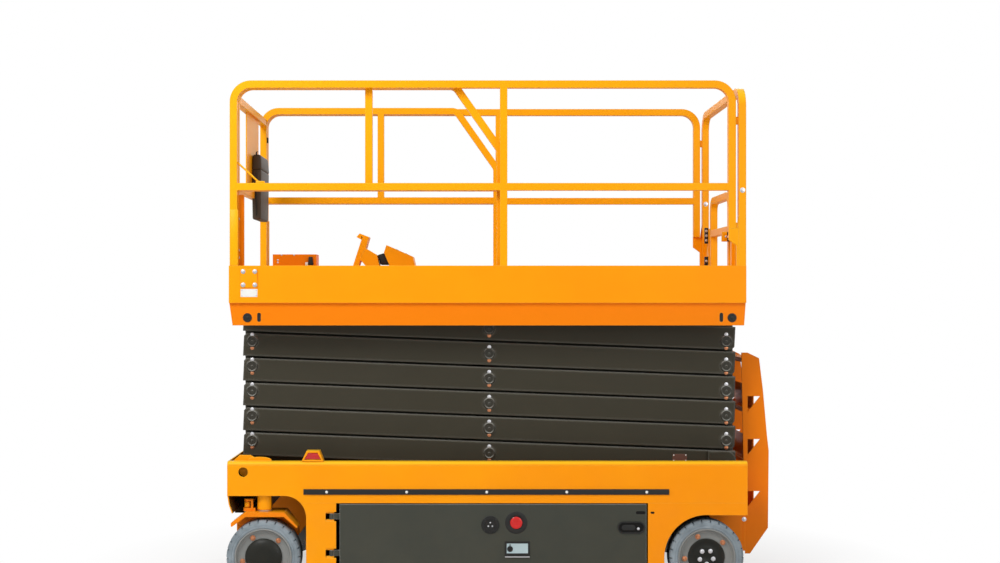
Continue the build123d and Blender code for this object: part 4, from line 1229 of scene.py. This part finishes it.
@dataclass
class DoorFittings(Assembly):
    """Charger socket, stop button, display and latch of the left door, and both doors' latches.

    The places count metres ahead of the door's rear edge, then heights, and a round piece's
    radius comes last.
    """

    socket: Point = (0.801, 0.358, 0.046)
    stop: Point = (0.668, 0.369, 0.031)
    display: Quad = (0.726, 0.599, 0.199, 0.273)
    latch: Quad = (0.148, 0.008, 0.313, 0.375)
    slot: Quad = (0.054, 0.006, 0.413, 0.428)
    thick: float = 0.005

    def build(self) -> None:
        """Build and mount the fittings."""
        low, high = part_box("door_left")
        self.edge, self.face = high.x, low.y
        self._socket()
        self._stop()
        self._display()
        self._latch()

    def _panel(self, name: str, place: Quad, out: float) -> Form:
        """A flat block on the left door's face.

        Args:
            name: Name of the block.
            place: Distances ahead of the door's rear edge, then lowest and highest z.
            out: How far it stands off the face.

        Returns:
            The form.
        """
        return Form.box(name, (self.edge - place[0], self.face + 0.001, place[2]),
                        (self.edge - place[1], self.face - out, place[3]))

    def _oblong(self, name: str, x: float, z: float, size: Point, out: float) -> Form:
        """A plate with round ends on the left door's face.

        Args:
            name: Name of the plate.
            x: Its middle along the machine.
            z: Its middle's height.
            size: Length, height and thickness.
            out: How far its middle stands off the face.

        Returns:
            The form.
        """
        return Form.oblong(name, (x, self.face - out, z), *size)

    def _socket(self) -> None:
        """Black charger inlet: flange, collar and a dished cap with three pins."""
        x, z, r = self.edge - self.socket[0], self.socket[1], self.socket[2]
        profile = outward((0.0, -0.001), (r, -0.001), (r, 0.0035), (r - 0.002, 0.005), (r - 0.009, 0.005),
                          (r - 0.010, 0.0085), (r - 0.013, 0.009), (r - 0.016, 0.0085), (r - 0.018, 0.003),
                          (0.0, 0.003))
        form = Form.turned("charger_socket", profile, (x, self.face, z), steps=64)
        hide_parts("door_fittings")
        form.done(BLACK, "door_left")
        pin = Form.disc("charger_pins", (x + 0.012, self.face - 0.0045, z), 0.0038, 0.005, sides=20)
        pin.inset(facing(Side.LEFT), 0.0008, 0.0004)
        pin.ring_of(3, (x, self.face, z), 30.0).done(ZINC, "door_left")
        screw = Form.bolt("charger_screws", (x + r - 0.005, self.face - 0.0045, z), 0.0028, 0.0016, sides=16)
        screw.ring_of(4, (x, self.face, z), 45.0).done(BLACK_STEEL, "door_left")

    def _stop(self) -> None:
        """Red mushroom button in a round black surround."""
        place, r = (self.edge - self.stop[0], self.face, self.stop[1]), self.stop[2]
        surround = outward((0.0, -0.001), (r + 0.026, -0.001), (r + 0.026, 0.0010), (r + 0.024, 0.0022),
                           (r + 0.006, 0.0022), (r + 0.003, 0.0006), (0.0, 0.0006))
        Form.turned("stop_surround", surround, place, steps=64).done(BLACK, "door_left")
        mushroom = outward((0.0, 0.0004), (0.014, 0.0004), (0.014, 0.003), (r, 0.003), (r, 0.0055),
                           (r - 0.003, 0.0082), (r - 0.010, 0.0092), (r - 0.013, 0.0084), (0.0, 0.0080))
        button = Form.turned("stop_button", mushroom, place, steps=64)
        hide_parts("emergency_stop")
        button.done(RED, "door_left")

    def _display(self) -> None:
        """Black instrument panel with a pale screen, a key switch and a bright ledge."""
        x0, x1, z0, z1 = self.display
        frame = self._panel("display_frame", self.display, self.thick)
        frame.inset(facing(Side.LEFT), 0.004, -0.001).rounded(0.0015).done(BLACK, "door_left")
        screen = self._panel("display_screen", (x0 - 0.009, x1 + 0.009, z0 + 0.014, z1 - 0.010), self.thick)
        screen.inset(facing(Side.LEFT), 0.002, -0.0006).done(SCREEN, "door_left")
        x, z = self.edge - x0 + 0.026, (z0 + z1) / 2 - 0.001
        barrel = outward((0.0, 0.0), (0.015, 0.0), (0.015, 0.0062), (0.0135, 0.0075), (0.006, 0.0075),
                         (0.005, 0.0055), (0.0, 0.0055))
        lock = Form.turned("key_switch", barrel, (x, self.face, z), steps=32)
        key = Form.box("key", (x - 0.0022, self.face - 0.0090, z - 0.001),
                       (x + 0.0022, self.face - 0.005, z + 0.024))
        lock.joined([key.rounded(0.001)]).done(BLACK, "door_left")
        ledge = self._panel("display_ledge", (x0, x1, z0 - 0.007, z0 - 0.002), 0.008)
        ledge.rounded(0.001).done(ZINC, "door_left")

    def _latch(self) -> None:
        """Sunken paddle latch with its lock on each door, and slots over and behind it."""
        x0, x1, z0, z1 = self.latch
        x, z, long, tall = self.edge - (x0 + x1) / 2, (z0 + z1) / 2, x0 - x1, z1 - z0
        out, middle = facing(Side.LEFT), Vector((x, self.face - 0.0046, z))
        pan = self._oblong("latch_pan", x, z, (long, tall, 0.0056), 0.0018)
        pan.inset(out, 0.005, 0.0)
        pan.inset(lambda centre, normal: out(centre, normal) and (centre - middle).length < 0.01,
                  0.003, -0.0040)
        pan.paired(BLACK, "door_{}")
        # The latch's back is a near-black patch of painted shade.
        back = self._oblong("latch_back", x, z, (long - 0.012, tall - 0.012, 0.0012), 0.0006)
        back.inset(out, 0.004, -0.0002).paired(SLOT_SHADE, "door_{}")
        paddle = self._oblong("latch_paddle", x - 0.014, z, (0.070, 0.028, 0.0026), 0.0024)
        paddle.inset(out, 0.004, 0.0008).paired(BLACK, "door_{}")
        lock = Form.bolt("latch_lock", (x + 0.036, self.face - 0.0012, z - 0.006), 0.0052, 0.0042, sides=24)
        lock.paired(ZINC, "door_{}")
        # The slots are near-black patches of painted shade.
        x0, x1, z0, z1 = self.slot
        height = (z0 + z1) / 2
        size = (x0 - x1, z1 - z0, 0.0008)
        slot = self._oblong("door_slot", self.edge - (x0 + x1) / 2, height, size, 0.0002)
        slot.inset(out, 0.002, -0.0002).paired(SLOT_SHADE, "door_{}")
        hole = self._oblong("skin_slot", self.edge + 0.031, height, (0.020, 0.011, 0.0008), 0.0002)
        hole.inset(out, 0.002, -0.0002).paired(SLOT_SHADE, "chassis")


@dataclass
class PlatformTrim(Assembly):
    """Bolted covers, blank plate, plugs, post sleeves, frame bolts and deck studs of the platform.

    The covers' and the plate's places are x behind the platform's front and then z.
    """

    cover: Quad = (0.0619, 0.1489, 1.575, 1.672)
    plate: Quad = (0.0619, 0.1479, 1.527, 1.568)
    plate_edge: float = 0.006
    plug_radius: float = 0.0206
    plug_z: float = 1.4194
    plug_xs: Pair = (-1.33075, 1.17725)
    slot_xs: Pair = (-1.27075, 1.12225)
    sleeve_top: float = 1.979
    bolt_z: float = 2.079
    stud_rows: int = 10
    stud_pitch: Pair = (0.08, 0.1)

    def build(self) -> None:
        """Build and mount the trim."""
        low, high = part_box("platform_sides")
        self.front, self.face = low.x, -high.y
        self._cover()
        self._plugs()
        self._sleeve()
        self._frame_bolts()
        self._plate()
        self._grip()

    def _cover(self) -> None:
        """Cover plate over each front post's foot, with four bolts."""
        x0, x1, z0, z1 = self.cover
        form = Form.box("post_cover", (self.front + x0, self.face + 0.001, z0),
                        (self.front + x1, self.face - 0.0045, z1))
        form.inset(facing(Side.LEFT), 0.003, 0.0008).paired(YELLOW, "platform")
        bolt = Form.bolt("cover_bolts", (self.front + x0 + 0.013, self.face - 0.005, z0 + 0.014), 0.0088,
                         0.0065)
        bolt.spread(corners_of(x1 - x0 - 0.026, z1 - z0 - 0.028)).paired(ZINC, "platform")

    def _plate(self) -> None:
        """Small blank white plate with corner rivets, on the left."""
        x0, x1, z0, z1 = self.plate
        form = Form.box("blank_plate_front", (self.front + x0, self.face + 0.0005, z0),
                        (self.front + x1, self.face - 0.0012, z1))
        form.inset(facing(Side.LEFT), 0.0015, 0.0003).done(WHITE, "platform")
        x, z = x0 + self.plate_edge, z0 + self.plate_edge
        rivet = Form.bolt(f"plate_rivets_{x:.3f}_{z:.3f}".replace(".", "_"),
                          (self.front + x, self.face - 0.0014, z), 0.0024, 0.0014, sides=16)
        rivet.spread(corners_of(x1 - x0 - 2 * self.plate_edge, z1 - z0 - 2 * self.plate_edge))
        rivet.done(ZINC, "platform")

    def _plugs(self) -> None:
        """Dished black plugs in the fascias' pin holes, and dark backs behind their slots."""
        y, r = self.face + 0.016, self.plug_radius
        profile = outward((0.0, -0.003), (r, -0.003), (r, 0.0005), (r + 0.003, 0.0010), (r + 0.002, 0.0030),
                          (r - 0.006, 0.0034), (r - 0.008, 0.0014), (0.008, 0.0014), (0.006, 0.0024),
                          (0.0, 0.0024))
        front, rear = self.plug_xs
        plug = Form.turned("fascia_plugs", profile, (front, y, self.plug_z), steps=40)
        plug.spread([(rear - front, 0, 0)]).paired(BLACK, "platform")
        # The dark backs are painted shade seen through the slots.
        front, rear = self.slot_xs
        back = Form.box("slot_backs", (front - 0.012, y + 0.0055, self.plug_z - 0.026),
                        (front + 0.012, y + 0.0042, self.plug_z + 0.030))
        back.inset(facing(Side.LEFT), 0.002, -0.0004)
        back.spread([(rear - front, 0, 0)]).paired(BLACK, "platform")

    def _sleeve(self) -> None:
        """Wider sleeve that each side rail's front post stands in."""
        low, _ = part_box("side_rails")
        form = Form.box("post_sleeve", (low.x + 0.0005, low.y + 0.0395, self.cover[3] + 0.018),
                        (low.x + 0.0425, low.y - 0.0015, self.sleeve_top))
        form.inset(looking(Axis.Z), 0.002, -0.002)
        form.rounded(0.002).paired(RAIL_YELLOW, "platform")

    def _frame_bolts(self) -> None:
        """Bolts through the rear frame's posts."""
        _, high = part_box("rear_rail_frame")
        x, size = high.x - 0.019, (0.010, 0.006)
        outer = Form.bolt("frame_bolt", (x, -high.y, self.bolt_z), *size)
        inner = Form.bolt("inner", (x, 0.038 - high.y, self.bolt_z), *size, side=Side.RIGHT)
        outer.joined([inner]).paired(ZINC, "platform")

    def _grip(self) -> None:
        """Raised anti-slip studs over the fixed deck, in rows."""
        start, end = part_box("extension_deck")[1].x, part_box("platform_deck")[1]
        along, across = self.stud_pitch
        stud = Form.disc("deck_studs", (start + 0.06, -0.45, end.z + 0.0006), 0.009, 0.0022, Axis.Z, 10)
        stud.inset(looking(Axis.Z), 0.003, 0.0006)
        stud.spread((0, across * step, 0) for step in range(1, self.stud_rows))
        stud.spread((along * step, 0, 0) for step in range(1, int((end.x - start - 0.12) / along)))
        stud.done(RAIL_YELLOW, "platform")


@dataclass
class GateTrim(Assembly):
    """Hinge blocks and catch of the entry gate."""

    hinge_zs: Pair = (1.735, 1.882)
    hinge_halves: Pair = (0.0253, 0.046)
    bolt_rise: float = 0.0276
    jamb_y: float = 0.331
    catch_y: float = -0.345
    catch_z: float = 1.848

    def build(self) -> None:
        """Build and mount them."""
        x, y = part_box("entry_gate")[0].x, self.jamb_y
        corners = [((x - 0.021, y, z - half), (x - 0.0005, y + 0.018, z + half))
                   for z, half in zip(self.hinge_zs, self.hinge_halves)]
        lower, upper = [Form.box("gate_hinge_blocks", *pair).rounded(0.003) for pair in corners]
        lower.joined([upper]).done(BLACK, "platform")
        bolt = Form.bolt("gate_hinge_bolts", (x - 0.011, y, self.hinge_zs[0]), 0.0058, 0.004)
        rise = self.hinge_zs[1] - self.hinge_zs[0]
        bolt.spread((0, 0, rise + step * self.bolt_rise) for step in (-1, 0, 1)).done(ZINC, "platform")
        self._catch(x - 0.006)

    def _catch(self, x: float) -> None:
        """A bracket on the left jamb, with two black pads and a bright striker."""
        y, z = self.catch_y, self.catch_z
        arm = Form.box("gate_catch", (x - 0.040, y, z - 0.026), (x - 0.012, y + 0.022, z + 0.026))
        arm.inset(facing(Side.LEFT), 0.004, 0.002).rounded(0.002).done(RAIL_YELLOW, "platform")
        pad = Form.box("gate_catch_pads", (x - 0.012, y - 0.002, z + 0.006), (x, y + 0.024, z + 0.026))
        pad.rounded(0.003).spread([(0, 0, -0.032)]).done(BLACK, "platform")
        striker = Form.disc("gate_striker", (x - 0.019, y + 0.011, z), 0.006, 0.030, sides=20)
        striker.inset(facing(Side.LEFT), 0.0015, 0.0008).done(ZINC, "platform")


@dataclass
class ExtensionTrim(Assembly):
    """Document box, post channel, deck box fittings, controls and corner rod of the front end."""

    manual_low: Point = (-1.400, 0.02, 1.960)
    manual_high: Point = (-1.346, 0.327, 2.325)
    lid_height: float = 0.085
    channel_top: float = 2.058
    channel_bolts: Point = (1.7315, 1.7695, 1.933)
    post_x: float = 0.168
    rod_ends: Quad = (0.037, 2.224, 0.145, 2.124)

    def build(self) -> None:
        """Build and mount them."""
        self._manual_box()
        self._guides()
        self._deck_box()
        self._controls()
        self._brace()

    def _manual_box(self) -> None:
        """Rounded document box with its lid, crease and hook."""
        (x0, y0, z0), (x1, y1, z1) = self.manual_low, self.manual_high
        seam, middle = z1 - self.lid_height, ((x0 + x1) / 2, (y0 + y1) / 2)
        body = Form.box("manual_box_body", (x0, y0, z0), (x1, y1, seam))
        body.resize(looking(Axis.Z, -1), (0.86, 0.96, 1), (*middle, z0)).rounded(0.010, 4)
        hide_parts("manual_box")
        body.done(BOX_BROWN, "extension")
        lid = Form.box("manual_box_lid", (x0 - 0.002, y0 - 0.002, seam - 0.004), (x1 + 0.002, y1 + 0.002, z1))
        lid.resize(looking(Axis.Z), (0.8, 0.95, 1), (*middle, z1)).rounded(0.014, 5)
        lid.done(BOX_BROWN, "extension")
        rib = Form.box("manual_box_rib", (x0 + 0.026, y0 - 0.0035, z0 + 0.02),
                       (x0 + 0.029, y0 + 0.002, seam - 0.006))
        rib.rounded(0.001).done(BLACK, "extension")
        hook = Form.box("manual_box_hook", (x0 + 0.022, y0 + 0.010, z1 - 0.004),
                        (x0 + 0.030, y0 + 0.018, z1 + 0.012))
        hook.extrude(looking(Axis.Z), (0.006, 0, 0.005))
        hook.rounded(0.002).done(BLACK_STEEL, "extension", "black_plastic")

    def _guides(self) -> None:
        """Channel behind the left front post with the bolts that clamp it, and a clip on the right."""
        low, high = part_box("extension_rails")
        form = Form.box("post_channel_left", (low.x + 0.0375, -high.y, 1.5555),
                        (low.x + 0.066, 0.016 - high.y, self.channel_top))
        form.inset(facing(Side.LEFT), 0.004, -0.003).rounded(0.0015).done(ORANGE, "extension")
        first, *others = self.channel_bolts
        bolt = Form.bolt("channel_bolts_left", (low.x + 0.034, -high.y, first), 0.0075, 0.004)
        bolt.spread((0, 0, z - first) for z in others).done(ZINC, "extension")
        clip = Form.box("rail_clip", (low.x + 0.030, 0.488, 2.440), (low.x + 0.046, 0.508, 2.472))
        clip.inset(looking(Axis.X), 0.004, -0.004).rounded(0.002).done(BLACK, "extension")

    def _deck_box(self) -> None:
        """Rivets, plug and pale collar of the deck box."""
        low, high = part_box("deck_box")
        rivet = Form.bolt("deck_box_rivets", (low.x + 0.048, low.y, high.z - 0.004), 0.0038, 0.003, sides=16)
        rivet.spread(((0.070, 0, 0), (-0.020, 0, -0.028), (-0.020, 0, -0.042))).done(ZINC, "extension")
        plug = Form.box("deck_plug", (high.x - 0.046, low.y - 0.020, high.z - 0.060),
                        (high.x - 0.016, low.y, high.z - 0.014))
        plug.resize(looking(Axis.Z), (0.7, 0.8, 1), (high.x - 0.031, low.y - 0.010, high.z))
        plug.rounded(0.004, 3).done(BLACK, "extension")
        collar = Form.disc("deck_plug_collar", (high.x - 0.053, low.y - 0.010, high.z - 0.054), 0.010, 0.016,
                           Axis.X, 28)
        collar.inset(looking(Axis.X, -1), 0.003, -0.004).rounded(0.001).done(WHITE, "extension")

    def _controls(self) -> None:
        """Black grip, top panel and keys of the control box."""
        low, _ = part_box("control_box")
        origin = post, floor = low.x + self.post_x, low.z
        grip = Form.slab("control_grip", ((0.016, 0.204), (0.052, 0.215), (0.084, 0.150), (0.031, 0.150)),
                         origin, -0.048, 0.048)
        grip.rounded(0.006, 3).done(BLACK, "extension")
        sheet = ((0.076, 0.2530), (0.206, 0.1960), (0.2064, 0.1968), (0.0764, 0.2538))
        panel = Form.slab("control_panel", sheet, origin, -0.092, 0.092)
        panel.done(BLACK, "extension")
        cap = ((0.0, -0.012), (0.011, -0.012), (0.011, -0.0045), (0.009, -0.003), (0.0, -0.003))
        key = Form.turned("control_keys", cap, (post + 0.115, -0.055, floor + 0.2394), Axis.Z, 28)
        key.spread([(0, 0.055, 0), (0, 0.110, 0)]).spread([(0.052, 0, -0.0228)]).done(SCREEN, "extension")

    def _brace(self) -> None:
        """Thin rod in the corner of the left front post and middle rail, with its tab."""
        low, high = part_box("side_rails")
        x0, z0, x1, z1 = self.rod_ends
        y = 0.019 - high.y
        start, end = Vector((low.x + x0, y, z0)), Vector((low.x + x1, y, z1))
        rod = Form.disc("corner_rod_left", (0, 0, 0), 0.0045, (end - start).length, Axis.Z, 16)
        rod.obj.data.transform(Matrix.Translation((start + end) / 2)
                               @ (end - start).to_track_quat("Z", "Y").to_matrix().to_4x4())
        rod.inset(lambda _, normal: abs(normal.x) > 0.6 and abs(normal.z) > 0.6, 0.001, 0.0005)
        rod.done(RAIL_YELLOW, "platform")
        tab = Form.box("corner_tab_left", (end.x - 0.012, y - 0.010, 2.112),
                       (end.x + 0.034, y + 0.010, 2.127))
        tab.rounded(0.003).done(RAIL_YELLOW, "platform")


@dataclass
class LadderTrim(Assembly):
    """Riser plates, tread studs and hanger plates of the ladder."""

    treads: Quad = (1.195, 0.925, 0.645, 0.365)
    riser: float = 0.118
    studs: int = 10
    stud_pitch: Pair = (0.028, 0.048)

    def build(self) -> None:
        """Build and mount them."""
        low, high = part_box("ladder")
        inner, top = high.y - 0.010, self.treads[1]
        form = Form.box("ladder_risers", (low.x + 0.102, -inner, top),
                        (low.x + 0.107, inner, top + self.riser))
        form.rounded(0.0015).spread((0, 0, z - top) for z in self.treads[2:]).done(ORANGE, "chassis")
        top = self.treads[0]
        stud = Form.disc("tread_studs", (low.x + 0.075, -0.216, top + 0.0010), 0.006, 0.003, Axis.Z, 12)
        stud.inset(looking(Axis.Z), 0.002, 0.0006)
        stud.spread((0, self.stud_pitch[1] * step, 0) for step in range(1, self.studs))
        stud.spread([(self.stud_pitch[0], 0, 0)]).spread((0, 0, z - top) for z in self.treads[1:])
        stud.done(ORANGE, "chassis")
        plate = Form.box("ladder_hanger", (low.x + 0.024, 0.008 - high.y, 0.16),
                         (low.x + 0.058, -high.y, 0.60))
        plate.inset(facing(Side.LEFT), 0.003, 0.0005).paired(ORANGE, "chassis")
        bolt = Form.bolt("ladder_bolts", (low.x + 0.052, -high.y, 0.33), 0.009, 0.007)
        bolt.spread([(0, 0, 0.19)]).paired(ZINC, "chassis")


# ---------------------------------------------------------------- studio
@dataclass
class Studio:
    """Camera, plain lights and pale floor."""

    eye: Point = (-0.19175, -7.625, 1.537)
    lens: float = 49.2
    shift: Pair = (0.0325, 0.0135)
    key_power: float = 285.0
    fill_power: float = 95.0
    world_level: float = 0.40
    floor_near: float = 1.25
    floor_fade: float = 1.2
    floor_lift: float = 0.6

    def build(self) -> None:
        """Make all of it."""
        self._camera()
        self._lamps()
        self._world()
        self._floor()
        view = bpy.context.scene.view_settings
        view.view_transform = "Standard"

    def _camera(self) -> None:
        """Stand the camera level with the deck, looking square at the left side."""
        data = bpy.data.cameras.new("camera")
        data.lens, data.sensor_width = self.lens, 36.0
        data.shift_x, data.shift_y = self.shift
        data.clip_end = 100.0
        camera = bpy.data.objects.new("camera", data)
        camera.location = self.eye
        camera.rotation_euler = (math.radians(90), 0, 0)
        bpy.context.collection.objects.link(camera)
        bpy.context.scene.camera = camera

    def _lamps(self) -> None:
        """Large soft lamps: a key from the upper left front and a fill from the right."""
        rows = (("key", (-3.2, -4.6, 5.6), self.key_power, 3.0),
                ("fill", (4.0, -5.5, 3.0), self.fill_power, 4.0),
                ("back", (1.0, 5.0, 5.0), self.fill_power, 4.0))
        for name, place, power, size in rows:
            data = bpy.data.lights.new(name, "AREA")
            data.energy, data.shape, data.size = power, "DISK", size
            lamp = bpy.data.objects.new(name, data)
            lamp.location = place
            lamp.rotation_euler = (Vector((0, 0, 1.3)) - Vector(place)).to_track_quat("-Z", "Y").to_euler()
            bpy.context.collection.objects.link(lamp)

    def _world(self) -> None:
        """Even pale surroundings, white where the camera, metal or glass sees them."""
        world = bpy.data.worlds.new("surroundings")
        world.use_nodes = True
        bpy.context.scene.world = world
        tree = Tree(world.node_tree, "OutputWorld")
        rays = [tree.node("LightPath", out=f"Is {kind} Ray") for kind in ("Camera", "Glossy", "Transmission")]
        soft = tree.node("Background", inputs={"Color": (1.0, 1.0, 1.0), "Strength": self.world_level})
        white = tree.node("Background", inputs={"Color": (1.0, 1.0, 1.0), "Strength": 1.0})
        tree.show(tree.node("MixShader", inputs={0: (rays[0] + rays[1] + rays[2]).kept(), 1: soft, 2: white}))

    def _floor(self) -> None:
        """A wide plain floor, fading to white away from the machine's shadow."""
        bpy.ops.object.select_all(action="DESELECT")
        bpy.ops.mesh.primitive_plane_add(size=60, location=(0, 0, 0))
        floor = bpy.context.object
        floor.name = "floor"
        shader = Shader("floor_paint")
        x, y = shader.axis(Axis.X), shader.axis(Axis.Y)
        far = (((x * x + y * y).root() - self.floor_near) / self.floor_fade).kept()
        seen = shader.node("LightPath", out="Is Camera Ray") * (self.floor_lift + far * (1 - self.floor_lift))
        matt = shader.node("BsdfPrincipled", inputs={"Base Color": (0.93, 0.93, 0.93), "Roughness": 0.9,
                                                     "Specular IOR Level": 0.1})
        white = shader.node("Emission", inputs={"Color": (1.0, 1.0, 1.0), "Strength": 1.0})
        shader.show(shader.node("MixShader", inputs={0: seen, 1: matt, 2: white}))
        floor.data.materials.append(shader.material)


LOOKS: Tuple[Tuple[Finish, str], ...] = (
    (TYRE, "tyre"), (RIM_GREY, "wheel"), (ZINC, "lower_rod upper_rod"), (RED, "emergency"),
    (ARM_GREY, "outer_arms inner_arms arm_pivots lower_barrel upper_barrel power_pack roller_tracks"),
    (BLACK, "door_fittings mouldings manual_box battery"), (DOOR_GREY, "door"), (FASCIA, "platform_sides"),
    (ARCH_SHADE, "arch_liner rear_axle"), (ORANGE, "ladder deck_box knuckle"), (CONTROL_PAINT, "control_box"),
    (CHASSIS, "chassis_spine side_box front_axle side_skin"),
    (RAIL_YELLOW, "side_rails extension_rails rear_rail entry_gate gate_jambs"))


def finish_of(node: str) -> Finish:
    """The finish of a CAD node by the start of its name."""
    return next((finish for finish, starts in LOOKS if node.startswith(tuple(starts.split()))), YELLOW)


def main() -> None:
    """Build the dressed machine and its studio."""
    logging.basicConfig(level=logging.INFO, format="%(name)s: %(message)s")
    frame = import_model()
    Studio().build()
    for name, node in frame["nodes"].items():
        dress(node, finish_of(name))
    record = frame["record"]
    for place, steered in (("front", True), ("rear", False)):
        for side in Side:
            RoadWheel(record, f"{place}_{side.tag}", side, steered).build()
    for assembly in (PinSet, ChassisTrim, DoorFittings, PlatformTrim, GateTrim, ExtensionTrim, LadderTrim):
        assembly(record).build()


if __name__ == "__main__":
    main()
